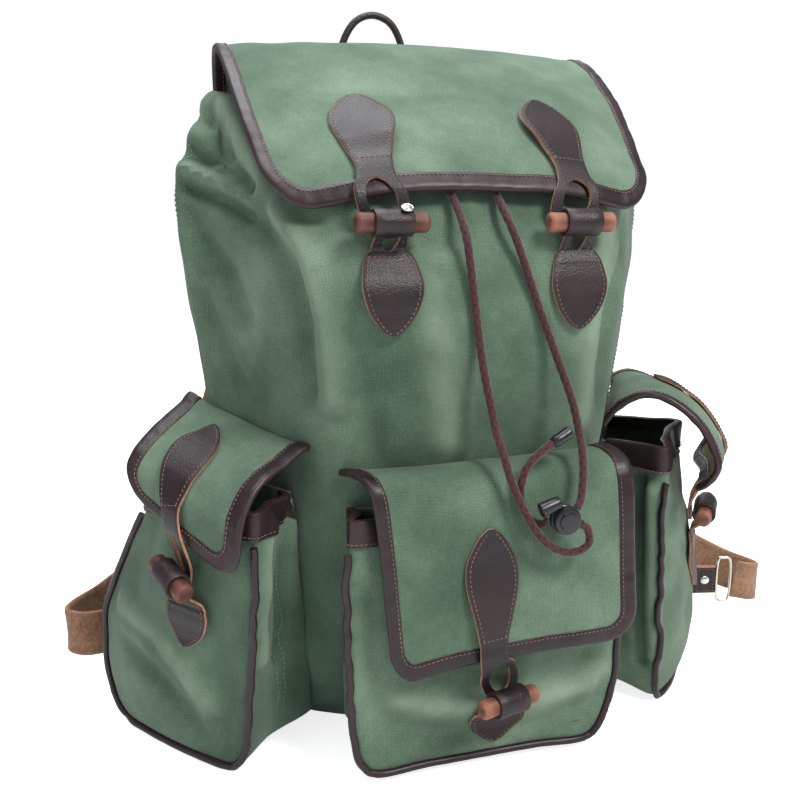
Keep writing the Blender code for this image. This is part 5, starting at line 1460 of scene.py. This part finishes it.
def makeFasteners():
    for pocket, label, wood, seed in ((leftPocket, "side_left", redWood, 11),
                                      (rightPocket, "side_right", orangeWood, 11),
                                      (frontPocket, "front", orangeWood, 7)):
        s, z, stand, turn, dip, drop, reach = pocketToggles[pocket.name]
        way = pocket.along * cos(radians(turn)) + pocket.inward * sin(radians(turn))
        across = unit(way * cos(radians(dip)) - upWay * sin(radians(dip)))
        outward = -pocket.inward
        cad = surfaceOf(frame["nodes"][pocket.name])
        hit = cad.ray_cast(Vector(pocket.world(s, -0.080, z)), Vector(pocket.inward))[0]
        toggle = np.array(hit) + outward * stand
        hosts = [pocket.surface] + pocket.flapHosts
        makeTab(label + "_tab", pocket.flap, pocketTabs[pocket.name], toggle, across, outward, hosts)
        makeToggle(label + "_toggle", label + "_wrap", toggle, across, wood, seed)
        makePatch(label + "_patch", pocket.surface, toggle, across, pocket.along, outward, drop,
                  reach)
    across = np.array((1.0, 0.0, 0.0))
    hosts = [sackSurface, surfaceOf(lidPanel), surfaceOf(lidEdge)]
    for label, side, wood, seed in (("left", -1, redWood, 3), ("right", 1, orangeWood, 5)):
        toggle = np.array((side * lidFastener["x"], lidFastener["y"], lidFastener["z"]))
        tipX, hemX = lidFastener["tabX"]
        tab = (lidFastener["tip"], side * tipX, side * hemX, 1.0)
        makeTab("lid_tab_" + label, lidCloth, tab, toggle, across, frontWay, hosts)
        makeToggle("lid_toggle_" + label, "lid_wrap_" + label, toggle, across, wood, seed)
        makePatch("lid_patch_" + label, sackSurface, toggle, across, across, frontWay,
                  lidFastener["drop"], lidFastener["reach"])


makeFasteners()
print("fasteners made")


# Carrying gear: haul loop, shoulder straps, wire rings, leather anchors and canvas wings

haulValues = {"radius": 0.0028, "sides": 14}
haulPoints = metres((
    (-440, 957, 4700), (-440, 952, 4900), (-420, 950, 5100), (-320, 945, 5270), (-170, 945, 5330),
    (-20, 945, 5270), (70, 950, 5100), (90, 952, 4900), (90, 957, 4700),
))
strapValues = {"width": 0.036, "thickness": 0.0030, "stations": 220, "stitchInset": 0.0035}
strapRight = metres((
    (340, 898, 4300), (380, 960, 4120), (620, 1280, 3600), (1050, 1500, 2750), (1600, 1550, 1850),
    (2220, 1350, 1150), (2750, 1050, 720), (3180, 800, 460), (3440, 620, 360), (3500, 530, 340),
    (3400, 470, 360), (3240, 510, 390),
))
strapLeft = metres((
    (-340, 898, 4300), (-460, 960, 4120), (-850, 1220, 3600), (-1200, 1250, 2850),
    (-1460, 1240, 2050), (-1720, 1200, 1350), (-2080, 1120, 900), (-2400, 1020, 690),
    (-2640, 900, 610), (-2730, 780, 580), (-2620, 700, 560), (-2450, 720, 550),
))
anchorValues = {"width": 0.028, "length": 0.020, "thickness": 0.0046, "ring": 0.0014, "rivet": 0.0042}
ringCorners = ((0.000, -0.017), (0.000, 0.017), (0.006, 0.021), (0.012, 0.017), (0.012, -0.017),
               (0.006, -0.021))
wingValues = {"thickness": 0.0022, "rows": 20, "columns": 26, "low": 0.022, "high": 0.125,
              "rootY": (0.062, 0.074), "gap": 0.0010}
rivetValues = {"place": (-0.0570, -0.1128, 0.3842), "way": (0.0, -0.50, 0.86), "radius": 0.0042}


def roundOutline(radius, turns):
    return [(radius * cos(a), radius * sin(a)) for a in turns]


def sweptPiece(name, origins, xs, ys, outline, materials, kinds=None, closed=False, worn=0.0):
    outline = np.array(outline, float)
    points = origins[:, None] + xs[:, None] * outline[None, :, :1] + ys[:, None] * outline[None, :, 1:]
    draft = Draft()
    girth = runOf(np.vstack([outline, outline[:1]]))
    run = runOf(origins)
    if closed:
        points = np.concatenate([points, points[:1]])
        run = np.concatenate([run, [run[-1] + run[1]]])
    draft.grid(points, clothGrid(girth, run), wrap=True, worn=worn)
    if kinds is not None:
        columns = len(outline)
        for k in range(len(draft.kinds)):
            draft.kinds[k] = kinds[k % columns]
    if not closed:
        draft.cap(points[0])
        draft.cap(points[-1])
    return draft.close(name, materials, 45.0)


# A flat strap with eased edges, and which of its faces are cut edges
def bandOutline(width, thickness):
    x, y, r = width / 2, thickness / 2, thickness * 0.28
    shares = np.linspace(-1, 1, 9)
    under = [(s * (x - r), -y) for s in shares]
    over = [(-s * (x - r), y) for s in shares]
    outline = under + [(x, -y + r), (x, y - r)] + over + [(-x, y - r), (-x, -y + r)]
    kinds = [0] * 8 + [1, 1, 1] + [0] * 8 + [1, 1, 1]
    return outline, kinds


def strapHints(points):
    side = np.sign(points[0][0])
    share = [min(max((k - 1) / 5, 0.0), 1.0) for k in range(len(points))]
    return [np.array((side * (1 - t), 0.0, t)) for t in share]


def buildStrap(name, route):
    path = smoothLine(route, strapValues["stations"])
    hints = smoothLine(strapHints(route), strapValues["stations"])
    _, side, over = lineFrames(path, hints)
    run = runOf(path)
    path = path + over * (0.0006 * np.sin(run * 61.0) * np.sin(run * 23.0))[:, None]
    outline, kinds = bandOutline(strapValues["width"], strapValues["thickness"])
    made = sweptPiece(name + "Band", path, side, over, outline, [suede, rawEdge], kinds)
    inset = strapValues["width"] / 2 - strapValues["stitchInset"]
    lift = strapValues["thickness"] / 2 + 0.0001
    for sign in (-1, 1):
        for face in (-1, 1):
            stitchRuns["trim"].append((path + side * sign * inset + over * face * lift)[6:-3])
    return finishPiece(made, name + "_suede", name)


def buildWing(label, side, tip):
    outward = np.array((side, 0.0, 0.0))
    roots, tips = [], []
    rows, columns = wingValues["rows"], wingValues["columns"]
    lowY, highY = wingValues["rootY"]
    for k in range(rows + 1):
        share = k / rows
        z = wingValues["low"] + (wingValues["high"] - wingValues["low"]) * share
        y = lowY + (highY - lowY) * share
        hit = sackSurface.ray_cast(Vector((side * 0.25, y, z)), Vector(-outward))[0]
        roots.append(np.array(hit) + outward * wingValues["gap"])
        tips.append(tip + upWay * anchorValues["width"] * (share - 0.5))
    roots, tips = np.array(roots), np.array(tips)
    run = np.linspace(0, 1, columns)[None, :]
    shares = run[..., None]
    middle = roots[:, None] * (1 - shares) + tips[:, None] * shares
    flat = unit(np.cross(tips[0] - roots[0], upWay))
    belly = (ripple(run, np.linspace(0, 1, rows + 1)[:, None], 0.55, 71) * 0.0016
             * np.sin(pi * run) * np.ones((rows + 1, 1)))
    middle = middle + flat * belly[..., None]
    half = wingValues["thickness"] / 2
    uv = plainUv(middle)
    draft = Draft()
    draft.grid(middle + flat * half, uv)
    draft.grid(middle - flat * half, uv)
    for pick in ((0, slice(None)), (-1, slice(None)), (slice(None), 0), (slice(None), -1)):
        edge = np.stack([middle[pick] + flat * half, middle[pick] - flat * half])
        draft.grid(edge, np.stack([uv[pick], uv[pick] + 0.002]), worn=0.6)
    made = draft.close("strapWing" + label.capitalize() + "Cloth", [canvas], 50.0)
    for row in (1, 3, rows - 1, rows - 3):
        stitchRuns["cloth"].append(middle[row] + flat * (half + 0.0001))
        stitchRuns["cloth"].append(middle[row] - flat * (half + 0.0001))
    return finishPiece(made, "strap_wing_" + label + "_canvas", "strap_wing_" + label)


# The strap's end, its wire ring, a doubled leather tab and the canvas wing, in a row
def buildAnchor(label, side, route):
    end = np.array(route[-1])
    way = unit((end - np.array(route[-2])) * np.array((1.0, 1.0, 0.0)))
    normal = np.cross(way, upWay)
    bar = end + way * (anchorValues["ring"] + 0.0026)
    corners = [bar + way * x + upWay * z for x, z in ringCorners]
    loop = smoothLine(corners, 90, closed=True)
    coarse = smoothLine(corners, 16, closed=True, dense=10)
    tangents = unit(np.roll(loop, -1, axis=0) - np.roll(loop, 1, axis=0))
    out = np.cross(tangents, normal)
    outline = roundOutline(anchorValues["ring"], turnsOf(12))
    ring = sweptPiece("strapRing" + label.capitalize() + "Wire", loop, out,
                      np.broadcast_to(normal, loop.shape), outline, [nickel], closed=True)
    finishPiece(ring, "strap_ring_" + label + "_nickel", "strap_ring_" + label)
    reach = float(((coarse - bar) @ way).max())
    start = bar + way * (reach + anchorValues["ring"] + 0.0005)
    tabEnd = start + way * anchorValues["length"]
    path = smoothLine([start, (start + tabEnd) / 2, tabEnd], 24)
    outline, kinds = bandOutline(anchorValues["width"] - 0.001, anchorValues["thickness"])
    tab = sweptPiece("strapAnchor" + label.capitalize() + "Tab", path,
                     np.broadcast_to(upWay, path.shape), np.broadcast_to(normal, path.shape), outline,
                     [leather, rawEdge], kinds)
    finishPiece(tab, "strap_anchor_" + label + "_leather", "strap_anchor_" + label)
    lift = anchorValues["thickness"] / 2 + 0.0001
    z = anchorValues["width"] / 2 - 0.0033
    for face in (-1, 1):
        corner = [start + way * 0.002 - upWay * z, tabEnd - way * 0.0025 - upWay * z,
                  tabEnd - way * 0.0025 + upWay * z, start + way * 0.002 + upWay * z]
        sides = zip(corner, corner[1:] + corner[:1])
        square = np.concatenate([np.linspace(a, b, 16) for a, b in sides])
        stitchRuns["trim"].append(square + normal * face * lift)
        place = (start + tabEnd) / 2 + normal * face * (anchorValues["thickness"] / 2 - 0.0002)
        addRivet("anchorRivet" + label.capitalize() + ("Front" if face > 0 else "Back"), place,
                 normal * face, anchorValues["rivet"], "strap_anchor_" + label + "_leather")
    buildWing(label, side, tabEnd + way * 0.0008)


# A low domed rivet with a rolled rim
def addRivet(name, place, way, radius, slotName):
    dome = [(0.0, radius), (0.0003, radius), (0.0006, radius * 0.97), (0.0008, radius * 0.90),
            (0.0007, radius * 0.82), (0.0009, radius * 0.74), (0.0013, radius * 0.55),
            (0.0015, radius * 0.30), (0.0016, radius * 0.08)]
    hint = unit(np.cross(way, (0.3, 0.2, 0.9)))
    made = turnedPiece(name, place, way, hint, dome, 28, rivetMetal)
    finishPiece(made, slotName)


def buildGear():
    path = smoothLine(haulPoints, 120)
    _, side, over = lineFrames(path, (0.0, 1.0, 0.0))
    turns = turnsOf(haulValues["sides"])
    outline = roundOutline(haulValues["radius"], turns)
    kinds = [1 if cos(a + turns[1] / 2) > 0.93 else 0 for a in turns]
    loop = sweptPiece("haulLoopLeather", path, side, over, outline, [leather, rawEdge], kinds,
                      worn=0.2)
    finishPiece(loop, "haul_loop_leather", "haul_loop")
    buildStrap("shoulder_strap_right", strapRight)
    buildStrap("shoulder_strap_left", strapLeft)
    buildAnchor("right", 1, strapRight)
    buildAnchor("left", -1, strapLeft)
    addRivet("lidRivetLeft", np.array(rivetValues["place"]), unit(rivetValues["way"]),
             rivetValues["radius"], "lid_wrap_left_leather")


buildGear()
print("carrying gear made")


# Seam stitches on the cloth: gussets of the side pockets and the sack's own seams

# A stitch line up a ring stack at one place around it
def seamOn(points, index, low, high, lift=0.0003):
    normals = outwardOf(points)
    z = points[:, index, 2]
    keep = (z > low) & (z < high)
    return (points[:, index] + normals[:, index] * lift)[keep]


def clothSeams():
    for pocket in (leftPocket, rightPocket):
        points = pocket.points
        local = points - pocket.corner
        s, q = local @ pocket.along, local @ pocket.inward
        for depth in (0.034, 0.041):
            best = [int(np.argmin(np.where(s[k] < 0.03, np.abs(q[k] - depth), 9.0)))
                    for k in range(len(points))]
            normals = outwardOf(points)
            line = np.array([points[k, i] + normals[k, i] * 0.0003 for k, i in enumerate(best)])
            keep = (line[:, 2] > 0.03) & (line[:, 2] < pocket.rows[-1][0] - 0.02)
            stitchRuns["cloth"].append(smoothLine(line[keep][::4], 120))
    count = sackPoints.shape[1]
    for share in (0.25, 0.262, 0.738, 0.75):
        stitchRuns["cloth"].append(seamOn(sackPoints, int(count * share), 0.02, 0.43))


clothSeams()

stitchValues = {"trim": {"spacing": 0.0031, "length": 0.0021, "thickness": 0.00075, "seed": 11},
                "cloth": {"spacing": 0.0036, "length": 0.0026, "thickness": 0.00065, "seed": 12}}


# Lays one short thread at even steps along every line of the mesh
def stitchTree(name, thread):
    tree = bpy.data.node_groups.new(name, "GeometryNodeTree")
    tree.interface.new_socket("Geometry", in_out="INPUT", socket_type="NodeSocketGeometry")
    for socket in ("Spacing", "Length", "Thickness"):
        tree.interface.new_socket(socket, in_out="INPUT", socket_type="NodeSocketFloat")
    tree.interface.new_socket("Seed", in_out="INPUT", socket_type="NodeSocketInt")
    tree.interface.new_socket("Geometry", in_out="OUTPUT", socket_type="NodeSocketGeometry")
    source = tree.nodes.new("NodeGroupInput").outputs
    curve = node(tree, "GeometryNodeMeshToCurve", {"Mesh": source["Geometry"]})
    even = node(tree, "GeometryNodeResampleCurve", {"Curve": curve.outputs["Curve"]},
                {"mode": "LENGTH"})
    tree.links.new(source["Spacing"], even.inputs["Length"])
    ball = node(tree, "GeometryNodeMeshUVSphere", Segments=6, Rings=5, Radius=0.5)
    size = node(tree, "ShaderNodeCombineXYZ", {"X": source["Thickness"], "Y": source["Thickness"],
                                               "Z": source["Length"]})
    thin = node(tree, "GeometryNodeTransform",
                {"Geometry": ball.outputs["Mesh"], "Scale": size.outputs["Vector"]})
    tangent = node(tree, "GeometryNodeInputTangent")
    turn = node(tree, "FunctionNodeAlignRotationToVector", {"Vector": tangent.outputs["Tangent"]},
                {"axis": "Z"})
    chance = node(tree, "FunctionNodeRandomValue", {"Seed": source["Seed"]},
                  {"data_type": "FLOAT_VECTOR"})
    chance.inputs[0].default_value = (0.90, 0.90, 0.84)
    chance.inputs[1].default_value = (1.12, 1.12, 1.12)
    laid = node(tree, "GeometryNodeInstanceOnPoints",
                {"Points": even.outputs["Curve"], "Instance": thin.outputs["Geometry"],
                 "Rotation": turn.outputs["Rotation"], "Scale": chance.outputs[0]})
    real = node(tree, "GeometryNodeRealizeInstances", {"Geometry": laid.outputs["Instances"]})
    smooth = node(tree, "GeometryNodeSetShadeSmooth", {"Geometry": real.outputs["Geometry"]})
    done = node(tree, "GeometryNodeSetMaterial", {"Geometry": smooth.outputs["Geometry"]},
                Material=thread)
    out = tree.nodes.new("NodeGroupOutput")
    tree.links.new(done.outputs["Geometry"], out.inputs["Geometry"])
    return tree


def sewStitches(kind, thread, slotName):
    lines = [np.asarray(line, float) for line in stitchRuns[kind] if len(line) > 2]
    verts, edges = [], []
    for line in lines:
        base = len(verts)
        verts.extend(line.tolist())
        edges.extend((base + k, base + k + 1) for k in range(len(line) - 1))
    guide = bpy.data.meshes.new(kind + "Guide")
    guide.from_pydata(verts, edges, [])
    holder = addObject(kind + "StitchGuide", guide)
    tree = stitchTree(kind + "Stitching", thread)
    layer = holder.modifiers.new("stitching", "NODES")
    layer.node_group = tree
    sockets = {item.name: item.identifier for item in tree.interface.items_tree
               if item.item_type == "SOCKET" and item.in_out == "INPUT"}
    values = stitchValues[kind]
    for socket in ("Spacing", "Length", "Thickness", "Seed"):
        layer[sockets[socket]] = values[socket.lower()]
    bpy.context.view_layer.update()
    evaluated = holder.evaluated_get(bpy.context.evaluated_depsgraph_get())
    mesh = bpy.data.meshes.new_from_object(evaluated)
    mesh.name = kind + "Stitches"
    holder.modifiers.remove(layer)
    bpy.data.objects.remove(holder, do_unlink=True)
    made = addObject(kind + "Stitches", mesh)
    mesh.materials.clear()
    mesh.materials.append(thread)
    return finishPiece(made, slotName)


sewStitches("trim", trimThread, "lid_binding_leather")
sewStitches("cloth", clothThread, "main_bag_canvas")
print("stitches sewn")


# Floor and studio light

# The strengths seen and glow whiten the background for the camera alone
stageValues = {"floor": (0.93, 0.93, 0.93), "floorHalf": 6, "floorZ": -0.0003,
               "world": (0.96, 0.98, 1.0), "worldStrength": 0.32, "seen": 1.05, "glow": 0.80,
               "aim": (0.0, 0.0, 0.24)}
# Each lamp's place, size, power and colour
lamps = (
    ("keyPanel", (0.70, -1.50, 1.90), 0.80, 46.0, (1.0, 0.985, 0.96)),
    ("skyPanel", (-0.10, 0.25, 1.90), 1.40, 30.0, (0.94, 0.97, 1.0)),
    ("fillPanel", (-1.60, -1.10, 0.70), 1.20, 5.5, (1.0, 1.0, 1.0)),
    ("rearPanel", (0.60, 1.60, 1.10), 1.20, 8.0, (0.95, 0.97, 1.0)),
)


def buildStage():
    mesh = bpy.data.meshes.new("paleFloor")
    half, z = stageValues["floorHalf"], stageValues["floorZ"]
    mesh.from_pydata([(-half, -half, z), (half, -half, z), (half, half, z), (-half, half, z)], [],
                     [(0, 1, 2, 3)])
    floor = addObject("paleFloor", mesh)
    material, paint, shader = startMaterial("floorPaint", 0.8, stageValues["floor"],
                                            Emission_Color=(1.0, 1.0, 1.0, 1.0))
    seen = paint.nodes.new("ShaderNodeLightPath").outputs["Is Camera Ray"]
    glow = node(paint, "ShaderNodeMapRange", {"Value": seen}, To_Max=stageValues["glow"])
    paint.links.new(glow.outputs["Result"], shader.inputs["Emission Strength"])
    mesh.materials.append(material)
    world = bpy.data.worlds.new("studio")
    world.use_nodes = True
    shade = world.node_tree.nodes["Background"]
    shade.inputs["Color"].default_value = (*stageValues["world"], 1.0)
    tree = world.node_tree
    seen = tree.nodes.new("ShaderNodeLightPath").outputs["Is Camera Ray"]
    strength = node(tree, "ShaderNodeMapRange", {"Value": seen}, To_Min=stageValues["worldStrength"],
                    To_Max=stageValues["seen"])
    tree.links.new(strength.outputs["Result"], shade.inputs["Strength"])
    bpy.context.scene.world = world
    bpy.context.scene.view_settings.view_transform = "Standard"
    for name, place, size, power, colour in lamps:
        data = bpy.data.lights.new(name, "AREA")
        data.shape = "DISK"
        data.size, data.energy, data.color = size, power, colour
        lamp = addObject(name, data)
        lamp.location = place
        aim = Vector(stageValues["aim"]) - Vector(place)
        lamp.rotation_euler = aim.to_track_quat("-Z", "Y").to_euler()


buildStage()
print("stage ready")
